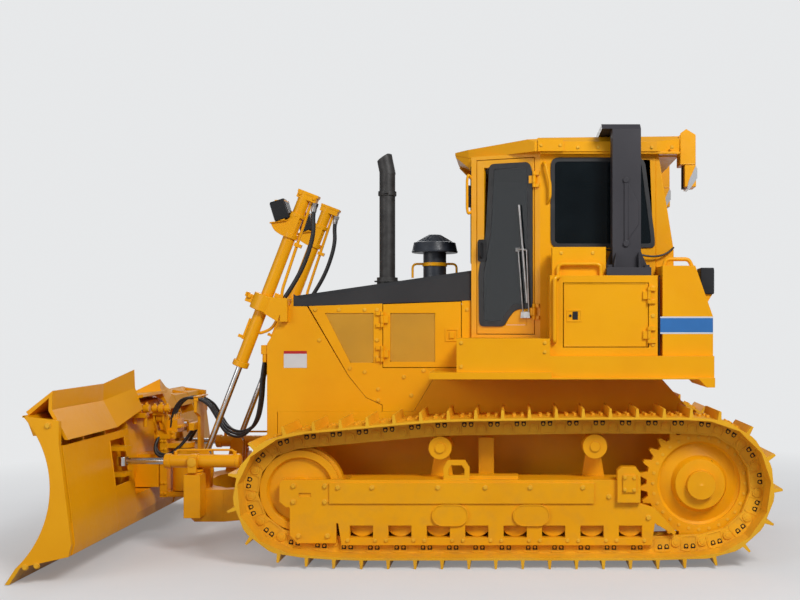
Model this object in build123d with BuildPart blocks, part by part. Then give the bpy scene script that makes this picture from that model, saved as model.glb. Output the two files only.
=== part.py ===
"""Crawler bulldozer with an inside-mounted six-way blade, in millimetres.

+X points forward, +Y to the machine's left and +Z up. The origin is on the
ground, under the middle of the overall length.
"""

import os
from math import acos, atan2, cos, hypot, pi, sin

from build123d import *

LEFT = 1
RIGHT = -1
SIDES = {"left": LEFT, "right": RIGHT}

# ---------------------------------------------------------------- driving sizes

# Track chain
link_pitch = 201.2
link_count = 43
sprocket_teeth = 27  # odd, so every second tooth meets a bushing
gauge = 1880  # between the track centres
shoe_width = 560
shoe_inner = 74  # distances outward from the pin line
shoe_outer = 90
grouser_tip = 155
rail_tread = 50  # distance inward from the pin line
rail_in = 52  # each rail, from the track's centre plane
rail_out = 92
bushing_radius = 33
chain_gap = 0.4  # between the rails and what runs on them

# Running gear
sprocket_x = -2202.3
sprocket_z = 605
idler_x_design = 836
idler_z = 555
idler_radius = 309
track_roller_radius = 109
track_roller_first = 383
track_roller_last = -1664
track_roller_count = 8
carrier_rollers = ((-213, 88), (-1397, 93))  # x, radius
roller_half_width = 86

# Hull and hood
hull_half_width = 520
hull_top = 1118
platform_z = 1722
ledge_low = 1415
hood_front = 1020
hood_rear = -425
hood_top_front = 2062
hood_top_rear = 2270
hood_side_front = 1978
hood_side_rear = 2024
sheet = 40

# Cab
cab_front_half_width = 550
cab_half_width = 750
cab_front = -430
cab_corner = -985
cab_rear = -1900
cab_floor = 1748
cab_top = 3190
wall = 50
beside_cab = 62  # clear width between the cab and the service boxes

# Push frame
push_pivot = (-100, 480)  # x, z
arm_in = 545
arm_out = 640
nose_x = 2080  # the vertical pin the blade swings on
tilt_z = 580  # the fore-and-aft pin the blade tilts on

# Cylinders
lift_y = 494
lift_trunnion = (1269, 1998)
lift_eye = (1745, 761)
angle_y = 700
angle_z = 740
angle_trunnion_x = 1765
angle_eye_x = 2345
tilt_x = 2235
tilt_trunnion = (150, 1040)  # y, z
tilt_eye = (-480, 900)
pin_clearance = 0.3

# Blade
blade_half_width = 1700
blade_top = (2659, 1187)
blade_deepest = (2473, 616)
blade_toe = (2712, 118)
blade_tip = (2786, 5)

# ---------------------------------------------------------------- helpers


def side_profile(points, y_low, y_high, mode=Mode.ADD):
    """A closed outline of (x, z) points between two side planes."""
    with BuildSketch(Plane.XZ.offset(-y_high)) as outline:
        with BuildLine():
            Polyline(*points, close=True)
        make_face()
    extrude(outline.sketch, amount=y_high - y_low, mode=mode)


def plan_profile(points, z_low, z_high, mode=Mode.ADD):
    """A closed outline of (x, y) points between two heights."""
    with BuildSketch(Plane.XY.offset(z_low)) as outline:
        with BuildLine():
            Polyline(*points, close=True)
        make_face()
    extrude(outline.sketch, amount=z_high - z_low, mode=mode)


def front_profile(points, x_low, x_high, mode=Mode.ADD):
    """A closed outline of (y, z) points between two cross planes."""
    with BuildSketch(Plane.YZ.offset(x_low)) as outline:
        with BuildLine():
            Polyline(*points, close=True)
        make_face()
    extrude(outline.sketch, amount=x_high - x_low, mode=mode)


def block(x_span, y_span, z_span, mode=Mode.ADD):
    """A box between three (low, high) spans."""
    spans = (x_span, y_span, z_span)
    with Locations(tuple(sum(span) / 2 for span in spans)):
        Box(*(max(span) - min(span) for span in spans), mode=mode)


def bar(start, end, radius, mode=Mode.ADD):
    """A round bar from one point to another."""
    start, end = Vector(*start), Vector(*end)
    with BuildSketch(Plane(origin=start, z_dir=end - start)) as section:
        Circle(radius)
    extrude(section.sketch, amount=(end - start).length, mode=mode)


def across(side, inner, outer):
    """The Y span of a piece on one side, from its inner and outer distances."""
    return tuple(sorted((side * inner, side * outer)))


def pipe(points, radius, bend):
    """A round tube bent along points that lie in one plane."""
    with BuildLine() as route:
        FilletPolyline(*points, radius=bend)
    with BuildSketch(Plane(origin=route.line @ 0, z_dir=route.line % 0)) as section:
        Circle(radius)
    sweep(section.sketch, path=route.line)


def polar(centre, radius, angle):
    return (centre[0] + radius * cos(angle), centre[1] + radius * sin(angle))


def finish(part, name):
    """Labels a finished piece and writes its STEP file."""
    part.label = name
    export_step(part, f"parts/{name}.step")


os.makedirs("parts", exist_ok=True)

# ---------------------------------------------------------------- track layout

sprocket_radius = link_pitch / 2 / sin(2 * pi / sprocket_teeth)
idler_pin_radius = hypot(idler_radius + chain_gap + rail_tread, link_pitch / 2)
track_half_gauge = gauge / 2
ground_pin_z = grouser_tip
track_roller_z = ground_pin_z + rail_tread + chain_gap + track_roller_radius
ground_overrun = 110  # the flat run goes on past the end rollers
top_pin_front = 1028
top_pin_rear = 1044


def tangent_angle(centre, radius, point, turn):
    """Where a line from a point touches a circle, as an angle at its centre."""
    reach = hypot(point[0] - centre[0], point[1] - centre[1])
    towards = atan2(point[1] - centre[1], point[0] - centre[0])
    return towards + turn * acos(radius / reach)


def pin_line(idler_x):
    """The closed line the chain's pins follow, as straight and round pieces."""
    sprocket = (sprocket_x, sprocket_z)
    idler = (idler_x, idler_z)
    ground = (
        (track_roller_last - ground_overrun, ground_pin_z),
        (track_roller_first + ground_overrun, ground_pin_z),
    )
    top = ((carrier_rollers[0][0], top_pin_front), (carrier_rollers[1][0], top_pin_rear))
    leave = tangent_angle(sprocket, sprocket_radius, ground[0], -1)
    reach_idler = tangent_angle(idler, idler_pin_radius, ground[1], 1)
    leave_idler = tangent_angle(idler, idler_pin_radius, top[0], -1)
    reach = tangent_angle(sprocket, sprocket_radius, top[1], 1)
    corners = (
        (polar(sprocket, sprocket_radius, leave), ground[0]),
        ground,
        (ground[1], polar(idler, idler_pin_radius, reach_idler)),
        (idler, idler_pin_radius, reach_idler, (leave_idler - reach_idler) % (2 * pi)),
        (polar(idler, idler_pin_radius, leave_idler), top[0]),
        top,
        (top[1], polar(sprocket, sprocket_radius, reach)),
        (sprocket, sprocket_radius, reach, (leave - reach) % (2 * pi)),
    )
    return [(piece[1] * piece[3] if len(piece) == 4 else hypot(
        piece[1][0] - piece[0][0], piece[1][1] - piece[0][1]), piece) for piece in corners]


def point_along(line, distance):
    """The (x, z) point at a distance along the pin line."""
    for length, piece in line:
        if distance <= length:
            break
        distance -= length
    if len(piece) == 4:
        centre, radius, start, _ = piece
        return polar(centre, radius, start + distance / radius)
    share = distance / length
    return tuple(a + (b - a) * share for a, b in zip(*piece))


def lay_chain(idler_x):
    """Pins one pitch apart along the pin line, and how much line is left over."""
    line = pin_line(idler_x)
    total = sum(length for length, _ in line)
    places = [0.0]
    pins = [point_along(line, 0)]
    for _ in range(link_count):
        low, high = places[-1] + 0.9 * link_pitch, places[-1] + 1.2 * link_pitch
        for _ in range(30):
            middle = (low + high) / 2
            x, z = point_along(line, middle % total)
            if hypot(x - pins[-1][0], z - pins[-1][1]) < link_pitch:
                low = middle
            else:
                high = middle
        places.append(low)
        pins.append(point_along(line, low % total))
    return pins[:-1], total - places[-1]


def tension_chain():
    """Slides the idler, as the track adjuster does, until the chain just closes."""
    low, high = idler_x_design - 90, idler_x_design + 90
    for _ in range(25):
        idler_x = (low + high) / 2
        pins, left_over = lay_chain(idler_x)
        if left_over < 0:
            low = idler_x
        else:
            high = idler_x
    return idler_x, pins


idler_x, chain_pins = tension_chain()


def link_frames():
    """Each link's middle, direction of travel and outward direction."""
    frames = []
    for here, ahead in zip(chain_pins, chain_pins[1:] + chain_pins[:1]):
        travel = ((ahead[0] - here[0]) / link_pitch, (ahead[1] - here[1]) / link_pitch)
        middle = ((here[0] + ahead[0]) / 2, (here[1] + ahead[1]) / 2)
        frames.append((middle, travel, (travel[1], -travel[0])))
    return frames


def chain_outline(profile):
    """A loop that repeats one link's profile of (along, outward) points."""
    return [
        (
            middle[0] + along * travel[0] + out * outward[0],
            middle[1] + along * travel[1] + out * outward[1],
        )
        for middle, travel, outward in link_frames()
        for along, out in profile
    ]


shoe_profile = (
    (-98, shoe_outer),
    (50, shoe_outer),
    (57, grouser_tip),
    (73, grouser_tip),
    (80, shoe_outer),
    (98, shoe_outer),
)
half_pitch = link_pitch / 2


def loop_band(outer, inner, y_span):
    """A flat band between two closed outlines, across a Y span."""
    y_low, y_high = y_span
    with BuildSketch(Plane.XZ.offset(-y_high)) as band:
        with BuildLine():
            Polyline(*outer, close=True)
        make_face()
        with BuildLine():
            Polyline(*inner, close=True)
        make_face(mode=Mode.SUBTRACT)
    extrude(band.sketch, amount=y_high - y_low)


for side_name, side in SIDES.items():
    centre_y = side * track_half_gauge
    with BuildPart() as track:
        loop_band(
            chain_outline(shoe_profile),
            chain_outline([(0, shoe_inner)]),
            (centre_y - shoe_width / 2, centre_y + shoe_width / 2),
        )
        for rail_side in (LEFT, RIGHT):
            loop_band(
                chain_outline([(0, (shoe_inner + shoe_outer) / 2)]),
                chain_outline([(-half_pitch + 16, -rail_tread), (half_pitch - 16, -rail_tread)]),
                sorted((centre_y + rail_side * rail_in, centre_y + rail_side * rail_out)),
            )
    finish(track.part, f"track_{side_name}")

# ---------------------------------------------------------------- sprockets and final drives

first_pin_angle = atan2(chain_pins[0][1] - sprocket_z, chain_pins[0][0] - sprocket_x)
tooth_root = sprocket_radius - bushing_radius
tooth_tip = sprocket_radius + 20
tooth_step = 2 * pi / sprocket_teeth
tooth_half_width = 33
hub_in = track_half_gauge - hull_half_width  # from the track's centre plane to the hull

# (radius, distance outward from the track's centre plane)
final_drive_profile = (
    (0, -hub_in),
    (190, -hub_in),
    (205, -150),
    (300, -70),
    (385, -tooth_half_width),
    (385, tooth_half_width - 10),
    (330, tooth_half_width - 10),
    (300, 0),
    (215, 30),
    (190, 95),
    (112, 105),
    (108, 150),
    (0, 155),
)

with BuildPart() as sprockets:
    for side in SIDES.values():
        centre_y = side * track_half_gauge
        teeth = [
            polar((sprocket_x, sprocket_z), radius, first_pin_angle + (tooth + share) * tooth_step)
            for tooth in range(sprocket_teeth)
            for share, radius in (
                (-0.17, tooth_root),
                (0.17, tooth_root),
                (0.40, tooth_tip),
                (0.60, tooth_tip),
            )
        ]
        side_profile(teeth, centre_y - tooth_half_width, centre_y + tooth_half_width)
        with Locations((sprocket_x, centre_y, sprocket_z)):
            Cylinder(
                320,
                2 * tooth_half_width,
                rotation=(90, 0, 0),
                mode=Mode.SUBTRACT,
            )
        with BuildSketch(
            Plane(origin=(sprocket_x, centre_y, sprocket_z), x_dir=(1, 0, 0), z_dir=(0, 0, 1))
        ) as drive:
            with BuildLine():
                Polyline(*((radius, side * out) for radius, out in final_drive_profile), close=True)
            make_face()
        revolve(
            drive.sketch,
            axis=Axis((sprocket_x, centre_y, sprocket_z), (0, 1, 0)),
            revolution_arc=360,
        )
finish(sprockets.part, "sprockets")

# ---------------------------------------------------------------- idlers and rollers

idler_profile = (
    (0, 94),
    (95, 94),
    (105, 60),
    (240, 45),
    (255, 84),
    (idler_radius, 84),
    (idler_radius, 46),
    (idler_radius + 24, 40),
)

with BuildPart() as idlers:
    for side in SIDES.values():
        centre_y = side * track_half_gauge
        half = list(idler_profile) + [(r, -out) for r, out in reversed(idler_profile)]
        with BuildSketch(
            Plane(origin=(idler_x, centre_y, idler_z), x_dir=(1, 0, 0), z_dir=(0, 0, 1))
        ) as wheel:
            with BuildLine():
                Polyline(*half, close=True)
            make_face()
        revolve(wheel.sketch, axis=Axis((idler_x, centre_y, idler_z), (0, 1, 0)))
finish(idlers.part, "idlers")

roller_step = (track_roller_first - track_roller_last) / (track_roller_count - 1)
roller_xs = [track_roller_last + roller_step * i for i in range(track_roller_count)]
guard_in = 95  # roller guard plates, from the track's centre plane
guard_out = 140


def carrier_z(x, radius):
    """A carrier roller's height, so that the chain's top run rests on it."""
    share = (x - carrier_rollers[0][0]) / (carrier_rollers[1][0] - carrier_rollers[0][0])
    pin = top_pin_front + share * (top_pin_rear - top_pin_front)
    return pin - rail_tread - 5 - radius


with BuildPart() as track_rollers:
    for side in SIDES.values():
        centre_y = side * track_half_gauge
        for x in roller_xs:
            bar(
                (x, centre_y - roller_half_width, track_roller_z),
                (x, centre_y + roller_half_width, track_roller_z),
                track_roller_radius,
            )
            bar(
                (x, centre_y - guard_in, track_roller_z),
                (x, centre_y + guard_in, track_roller_z),
                38,
            )
        for x, radius in carrier_rollers:
            bar(
                (x, centre_y - side * roller_half_width, carrier_z(x, radius)),
                (x, centre_y + side * (roller_half_width + 20), carrier_z(x, radius)),
                radius,
            )
            bar(
                (x, centre_y - side * guard_in, carrier_z(x, radius)),
                (x, centre_y + side * (roller_half_width + 32), carrier_z(x, radius)),
                38,
            )
finish(track_rollers.part, "track_rollers")

# ---------------------------------------------------------------- track frames

frame_top = 646
frame_front = 985
frame_rear = -1725
guard_top = 316
guard_bottom = 149

frame_plate = (
    (frame_rear, frame_top),
    (frame_front, frame_top),
    (frame_front + 22, frame_top - 24),
    (frame_front + 22, 480),
    (955, 437),
    (600, 437),
    (580, guard_top),
    (-1850, guard_top),
    (-2000, 225),
    (-2012, 250),
    (-1850, 430),
    (frame_rear, 470),
)
guard_plate = (
    (560, guard_top),
    (535, guard_bottom),
    (-1825, guard_bottom),
    (-1850, guard_top),
)
rear_block = ((-1560, 480), (-1735, 480), (-1735, 700), (-1700, 750), (-1590, 750), (-1560, 720))
window_width = 176
window_height = 92
raised = 14  # how far the outer face's plates stand out
raised_plate_x = (-1386, 626)
boss_spans = ((-430, -153), (-1050, -770))  # along the machine
boss_z = 379
boss_radius = 82
front_guard = ((575, 301), (575, 164), (870, 164), (928, 225), (928, 301))
lifting_eye = ((-440, 640), (-240, 640), (-240, 740), (-275, 796), (-405, 796), (-440, 740))
eye_window = ((-400, 680), (-280, 680), (-280, 728), (-300, 756), (-380, 756), (-400, 728))

for side_name, side in SIDES.items():
    centre_y = side * track_half_gauge
    with BuildPart() as track_frame:
        for face in (LEFT, RIGHT):
            plate_y = sorted((centre_y + face * guard_in, centre_y + face * guard_out))
            side_profile(frame_plate, *plate_y)
            side_profile(guard_plate, *plate_y)
            side_profile(front_guard, *plate_y)
            block((575, 928), plate_y, (295, 440))
            with Locations(
                *((x, centre_y + face * (guard_in + guard_out) / 2, track_roller_z - 62)
                  for x in roller_xs)
            ):
                Box(window_width, guard_out - guard_in, window_height, mode=Mode.SUBTRACT)
        block(
            (frame_rear, idler_x - idler_radius - 75),
            (centre_y - guard_in, centre_y + guard_in),
            (470, frame_top),
        )
        # on the outer face: a raised plate, two oval bosses and the rear mounting block
        outer_y = across(side, track_half_gauge + guard_out, track_half_gauge + guard_out + raised)
        block(raised_plate_x, outer_y, (467, 624))
        for boss_rear, boss_front in boss_spans:
            block((boss_rear + boss_radius, boss_front - boss_radius), outer_y,
                  (boss_z - boss_radius, boss_z + boss_radius))
            for boss_x in (boss_rear + boss_radius, boss_front - boss_radius):
                bar((boss_x, outer_y[0], boss_z), (boss_x, outer_y[1], boss_z), boss_radius)
        side_profile(rear_block, *across(side, track_half_gauge + 95, track_half_gauge + 185))
        block((-1700, -1600), across(side, track_half_gauge + 185, track_half_gauge + 199),
              (560, 690))
        # the idler's axle blocks, one in each fork plate
        for face in (LEFT, RIGHT):
            bar(
                (idler_x, centre_y + face * guard_out, idler_z),
                (idler_x, centre_y + face * guard_in, idler_z),
                70,
            )
        # carrier roller posts stand on the frame's inner plate
        for x, radius in carrier_rollers:
            post_y = across(side, track_half_gauge - guard_out, track_half_gauge - guard_in)
            top = carrier_z(x, radius)
            side_profile(
                ((x - 90, frame_top - 20), (x + 90, frame_top - 20), (x + 48, top), (x - 48, top)),
                *post_y,
            )
            bar((x, post_y[0], top), (x, post_y[1], top), 48)
        # the adjuster's slot, and the step pad, post and lifting eye on top
        block((768, 860), across(side, track_half_gauge + guard_out - 10,
                                 track_half_gauge + guard_out + 1), (518, 546), mode=Mode.SUBTRACT)
        block((-810, -370), across(side, track_half_gauge - 20, track_half_gauge + 100),
              (frame_top, 672))
        block((-620, -500), across(side, track_half_gauge - guard_out, track_half_gauge - guard_in),
              (frame_top - 20, 944))
        eye_y = across(side, track_half_gauge + 104, track_half_gauge + 132)
        side_profile(lifting_eye, *eye_y)
        side_profile(eye_window, *eye_y, mode=Mode.SUBTRACT)
    finish(track_frame.part, f"track_frame_{side_name}")

with BuildPart() as suspension_bars:
    frame_in = track_half_gauge - guard_out
    for side in SIDES.values():
        bar((-1350, side * hull_half_width, 520), (-1350, side * frame_in, 520), 75)
        block((-560, -420), across(side, hull_half_width, frame_in), (500, 600))
finish(suspension_bars.part, "suspension_bars")

# ---------------------------------------------------------------- hull

hull_profile = (
    (1150, 560),
    (1150, hull_top),
    (40, hull_top),
    (-140, ledge_low),
    (cab_front, ledge_low),
    (cab_front, platform_z),
    (-1880, platform_z),
    (-1880, 1500),
    (-2180, 1165),
    (-2180, 640),
    (-2050, 430),
    (-1800, 330),
    (950, 330),
)
with BuildPart() as main_frame:
    side_profile(hull_profile, -hull_half_width, hull_half_width)
    for side in SIDES.values():
        bar(
            (push_pivot[0], side * hull_half_width, push_pivot[1]),
            (push_pivot[0], side * (arm_out + 6), push_pivot[1]),
            60,
        )
finish(main_frame.part, "main_frame")

# Radiator guard: front wall with a grille opening, and sides back to the diagonal seam
guard_front = 1237
guard_shoulder = 1670
guard_base = 560
guard_side = (
    (guard_front, guard_base),
    (guard_front, guard_shoulder),
    (hood_front, hood_side_front + 60),
    (912, 1976),
    (575, 1407),
    (430, 1230),
    (300, 1170),
    (300, hull_top),
    (1154, hull_top),
    (1154, guard_base),
)
trunnion_cheeks = ((62, 84), (-84, -62))  # from the lift cylinder's plane
with BuildPart() as radiator_guard:
    for side in SIDES.values():
        side_profile(guard_side, *across(side, hull_half_width - sheet, hull_half_width))
    side_profile(
        (
            (guard_front, guard_base),
            (guard_front, guard_shoulder),
            (hood_front, hood_side_front + 60),
            (hood_front - 45, hood_side_front + 15),
            (guard_front - 60, guard_shoulder - 20),
            (guard_front - 60, guard_base),
        ),
        -hull_half_width,
        hull_half_width,
    )
    block((guard_front - 70, guard_front + 10), (-380, 380), (1180, 1620), mode=Mode.SUBTRACT)
    for side in SIDES.values():
        for near, far in trunnion_cheeks:
            side_profile(
                (
                    (1075, 2040),
                    (1140, 1850),
                    (1300, 1950),
                    (1322, 1998),
                    (1300, 2045),
                    (1245, 2058),
                ),
                *across(side, lift_y + near, lift_y + far),
            )
        block((1060, 1120), across(side, lift_y - 84, lift_y + 84), (1850, 2040))
        bar(
            (lift_trunnion[0], side * (lift_y - 90), lift_trunnion[1]),
            (lift_trunnion[0], side * (lift_y + 90), lift_trunnion[1]),
            28 + pin_clearance,
            mode=Mode.SUBTRACT,
        )
finish(radiator_guard.part, "radiator_guard")

with BuildPart() as engine_block:
    block((60, 900), (-330, 330), (hull_top, 1900))
finish(engine_block.part, "engine_block")

hood_outline = (
    (hood_front, hood_side_front + 60),
    (hood_front, hood_top_front),
    (hood_rear, hood_top_rear),
    (hood_rear, hood_side_rear),
    (912, hood_side_front),
)
hood_inside = (
    (hood_front - sheet, hood_side_front - 20),
    (hood_front - sheet, hood_top_front - sheet),
    (hood_rear, hood_top_rear - sheet),
    (hood_rear, hood_side_rear - 60),
)
hood_bevel = 70
exhaust_x = 321
exhaust_base = 90
exhaust_radius = 68
precleaner_x = -90
precleaner_neck = 99
with BuildPart() as hood:
    side_profile(hood_outline, -hull_half_width, hull_half_width)
    side_profile(
        hood_inside, -(hull_half_width - sheet), hull_half_width - sheet, mode=Mode.SUBTRACT
    )
    hood_edges = hood.edges().filter_by(
        lambda e: abs(abs(e.center().Y) - hull_half_width) < 1
        and e.center().Z > 2100
        and e.length > 1000
    )
    chamfer(hood_edges, length=hood_bevel * 0.45)
    bar((exhaust_x, 0, 2000), (exhaust_x, 0, 2400), exhaust_base + 0.3, mode=Mode.SUBTRACT)
    bar((precleaner_x, 0, 2000), (precleaner_x, 0, 2400), precleaner_neck + 0.3, mode=Mode.SUBTRACT)
finish(hood.part, "hood")

door_seam_x = 296
door_rear_x = -345
door_bottom = 1480
grille_front = ((764, 1921), (369, 1921), (369, 1517), (558, 1517))
slat_depth = 14  # from the panel's face in to the slats
hinge_radius = 14
hinge_out = 18  # hinge line's distance outside a panel
knuckle_length = 60
knuckle_gap = 3
engine_hinge_lows = (1560, 1840)
service_hinge_lows = (1720, 2020)
cab_hinge_lows = (1900, 2950)


def hood_side_z(x):
    """Height of the hood band's lower edge."""
    share = (912 - x) / (912 - hood_rear)
    return hood_side_front + share * (hood_side_rear - hood_side_front)


def hinge_spans(low):
    """The two fixed knuckles that stand below and above a door's knuckle."""
    return (
        (low - knuckle_gap - 30, low - knuckle_gap),
        (low + knuckle_length + knuckle_gap, low + knuckle_length + knuckle_gap + 30),
    )


def hinge_leaf(x, edge_x, side, face, span):
    """A knuckle on a vertical hinge line, with the flat tab that carries it."""
    hinge_y = side * (face + hinge_out)
    bar((x, hinge_y, span[0]), (x, hinge_y, span[1]), hinge_radius)
    block(sorted((x, edge_x)), across(side, face, face + hinge_out), span)


with BuildPart() as side_panels:
    for side in SIDES.values():
        panel_y = across(side, hull_half_width - sheet, hull_half_width)
        slat_y = across(side, hull_half_width - sheet, hull_half_width - slat_depth)
        side_profile(
            (
                (900, hood_side_z(900)),
                (door_seam_x, hood_side_z(door_seam_x)),
                (door_seam_x, 1174),
                (430, 1234),
                (571, 1410),
            ),
            *panel_y,
        )
        side_profile(grille_front, *panel_y, mode=Mode.SUBTRACT)
        for slat in range(8):
            slat_z = 1540 + slat * 50
            slat_front = 570 + (slat_z - 1517) * 0.51
            block((340, slat_front), slat_y, (slat_z, slat_z + 18))
        side_profile(
            (
                (door_seam_x, hull_top + 1),
                (door_seam_x, door_bottom - 6),
                (hood_rear, door_bottom - 6),
                (hood_rear, ledge_low + 1),
                (-138, ledge_low + 1),
                (42, hull_top + 1),
            ),
            *panel_y,
        )
        side_profile(
            (
                (door_rear_x - 6, door_bottom - 6),
                (door_rear_x - 6, hood_side_z(door_rear_x)),
                (hood_rear, hood_side_z(hood_rear)),
                (hood_rear, door_bottom - 6),
            ),
            *panel_y,
        )
        for low in engine_hinge_lows:
            for span in hinge_spans(low):
                hinge_leaf(door_seam_x, door_seam_x + 50, side, hull_half_width, span)
finish(side_panels.part, "side_panels")

for side_name, side in SIDES.items():
    panel_y = across(side, hull_half_width - sheet, hull_half_width)
    slat_y = across(side, hull_half_width - sheet, hull_half_width - slat_depth)
    with BuildPart() as engine_door:
        side_profile(
            (
                (door_seam_x - 6, door_bottom),
                (door_seam_x - 6, hood_side_z(door_seam_x) - 6),
                (door_rear_x, hood_side_z(door_rear_x) - 6),
                (door_rear_x, door_bottom),
            ),
            *panel_y,
        )
        block((-133, 232), panel_y, (1525, 1921), mode=Mode.SUBTRACT)
        for slat in range(8):
            slat_z = 1540 + slat * 50
            block((-140, 240), slat_y, (slat_z, slat_z + 18))
        for low in engine_hinge_lows:
            hinge_leaf(
                door_seam_x, door_seam_x - 50, side, hull_half_width, (low, low + knuckle_length)
            )
    finish(engine_door.part, f"engine_door_{side_name}")

# ---------------------------------------------------------------- exhaust and pre-cleaner

with BuildPart() as exhaust_stack:
    bar((exhaust_x, 0, 1900), (exhaust_x, 0, 3150), exhaust_radius)
    bar((exhaust_x, 0, 1900), (exhaust_x, 0, 2235), exhaust_base)
    bar((exhaust_x, 0, 2950), (exhaust_x, 0, 2972), exhaust_radius + 5)
    # the tip leans forward and is cut to open forward
    bar((exhaust_x - 6, 0, 3120), (exhaust_x + 50, 0, 3400), exhaust_radius)
    side_profile(
        (
            (exhaust_x - 90, 3302),
            (exhaust_x - 10, 3302),
            (exhaust_x + 160, 3190),
            (exhaust_x + 160, 3500),
            (exhaust_x - 90, 3500),
        ),
        -120,
        120,
        mode=Mode.SUBTRACT,
    )
finish(exhaust_stack.part, "exhaust_stack")

# (radius, height)
precleaner_profile = (
    (0, 2130),
    (precleaner_neck, 2130),
    (precleaner_neck, 2448),
    (195, 2448),
    (195, 2464),
    (180, 2535),
    (150, 2542),
    (55, 2603),
    (0, 2603),
)

with BuildPart() as precleaner:
    with BuildSketch(Plane.XZ) as bowl:
        with BuildLine():
            Polyline(*((precleaner_x + r, z) for r, z in precleaner_profile), close=True)
        make_face()
    revolve(bowl.sketch, axis=Axis((precleaner_x, 0, 0), (0, 0, 1)))
finish(precleaner.part, "precleaner")

# ---------------------------------------------------------------- platform, boxes and tank

fender_out = 1180
service_in = cab_half_width + beside_cab
service_out = 1100
service_front = -1050
service_rear = -1868
service_top = 2201
step_front = -344
tank_rear = -2288

with BuildPart() as fenders:
    for side in SIDES.values():
        fender_y = across(side, hull_half_width, fender_out)
        step_y = across(side, hull_half_width, fender_out - 30)
        side_profile(
            (
                (step_front, 1467),
                (step_front, 1722),
                (service_front, 1722),
                (service_front, 1590),
                (tank_rear, 1590),
                (tank_rear, 1427),
                (service_front, 1427),
                (service_front, 1467),
            ),
            *step_y,
        )
        side_profile(
            (
                (step_front + 204, ledge_low + 1),
                (step_front + 204, 1467),
                (-1060, 1467),
                (-1060, 1427),
                (tank_rear, 1427),
                (tank_rear, 1355),
                (tank_rear + 60, 1355),
                (tank_rear + 120, ledge_low + 1),
            ),
            *fender_y,
        )
finish(fenders.part, "fenders")

door_front_x = -1155
door_back_x = -1795
upper_box_x = (-1480, -1070)
upper_box_top = 2421
with BuildPart() as service_boxes:
    for side in SIDES.values():
        box_y = across(side, service_in, service_out)
        block((service_rear, service_front), box_y, (1590, service_top))
        block(
            (service_rear + sheet, service_front - sheet),
            across(side, service_in + sheet, service_out - sheet),
            (1590 + sheet, service_top - sheet),
            mode=Mode.SUBTRACT,
        )
        block(
            (door_back_x - 6, door_front_x + 6),
            across(side, service_out - sheet - 10, service_out + 10),
            (1654, 2146),
            mode=Mode.SUBTRACT,
        )
        block(upper_box_x, across(side, service_in, service_out - 60), (service_top, upper_box_top))
        for low in service_hinge_lows:
            for span in hinge_spans(low):
                hinge_leaf(
                    door_back_x - 6, door_back_x - 56, side, service_out, span
                )
finish(service_boxes.part, "service_boxes")

for side_name, side in SIDES.items():
    with BuildPart() as service_door:
        block(
            (door_back_x, door_front_x),
            across(side, service_out - sheet, service_out),
            (1660, 2140),
        )
        for low in service_hinge_lows:
            hinge_leaf(
                door_back_x - 6, door_back_x + 40, side, service_out, (low, low + knuckle_length)
            )
    finish(service_door.part, f"service_door_{side_name}")

tank_top = 2275
tank_profile = (
    (-1905, 1590),
    (-1905, tank_top),
    (-2153, tank_top),
    (tank_rear, 1887),
    (tank_rear, 1590),
)
with BuildPart() as rear_tank:
    side_profile(tank_profile, -service_out, service_out)
finish(rear_tank.part, "rear_tank")

# ---------------------------------------------------------------- cab

cab_plan = (
    (cab_front, cab_front_half_width),
    (cab_corner, cab_half_width),
    (cab_rear, cab_half_width),
    (cab_rear, -cab_half_width),
    (cab_corner, -cab_half_width),
    (cab_front, -cab_front_half_width),
)
door_length = hypot(cab_corner - cab_front, cab_half_width - cab_front_half_width)
door_turn = atan2(cab_half_width - cab_front_half_width, cab_front - cab_corner)


def door_plane(side):
    """A plane on the cab's door face: x forward from the hinge edge, y up, z outward."""
    return Plane(
        origin=(cab_corner, side * cab_half_width, 0),
        x_dir=(cos(door_turn), -side * sin(door_turn), 0),
        z_dir=(sin(door_turn), side * cos(door_turn), 0),
    )


def on_door(side, along, up, out):
    """A world point from distances on the door face."""
    return door_plane(side).from_local_coords((along, up * side_up(side), out))


def side_up(side):
    """Local y points up on the left door face and down on the right one."""
    return 1 if door_plane(side).y_dir.Z > 0 else -1


def door_box(side, along, up, out, mode=Mode.ADD):
    """A box on the door face from three (low, high) spans."""
    plane = door_plane(side)
    turn = side_up(side)
    with BuildSketch(plane.offset(out[0])) as outline:
        with Locations(((along[0] + along[1]) / 2, turn * (up[0] + up[1]) / 2)):
            Rectangle(along[1] - along[0], up[1] - up[0])
    extrude(outline.sketch, amount=out[1] - out[0], mode=mode)


door_low = cab_floor
door_high = cab_top - 30
window_high = cab_top - 60
side_window = ((-1090, 2440), (-1090, window_high), (-1850, window_high), (-1790, 2440))
leaf_gap = 6
door_front_edge = door_length - 45
door_back_edge = 45

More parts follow.
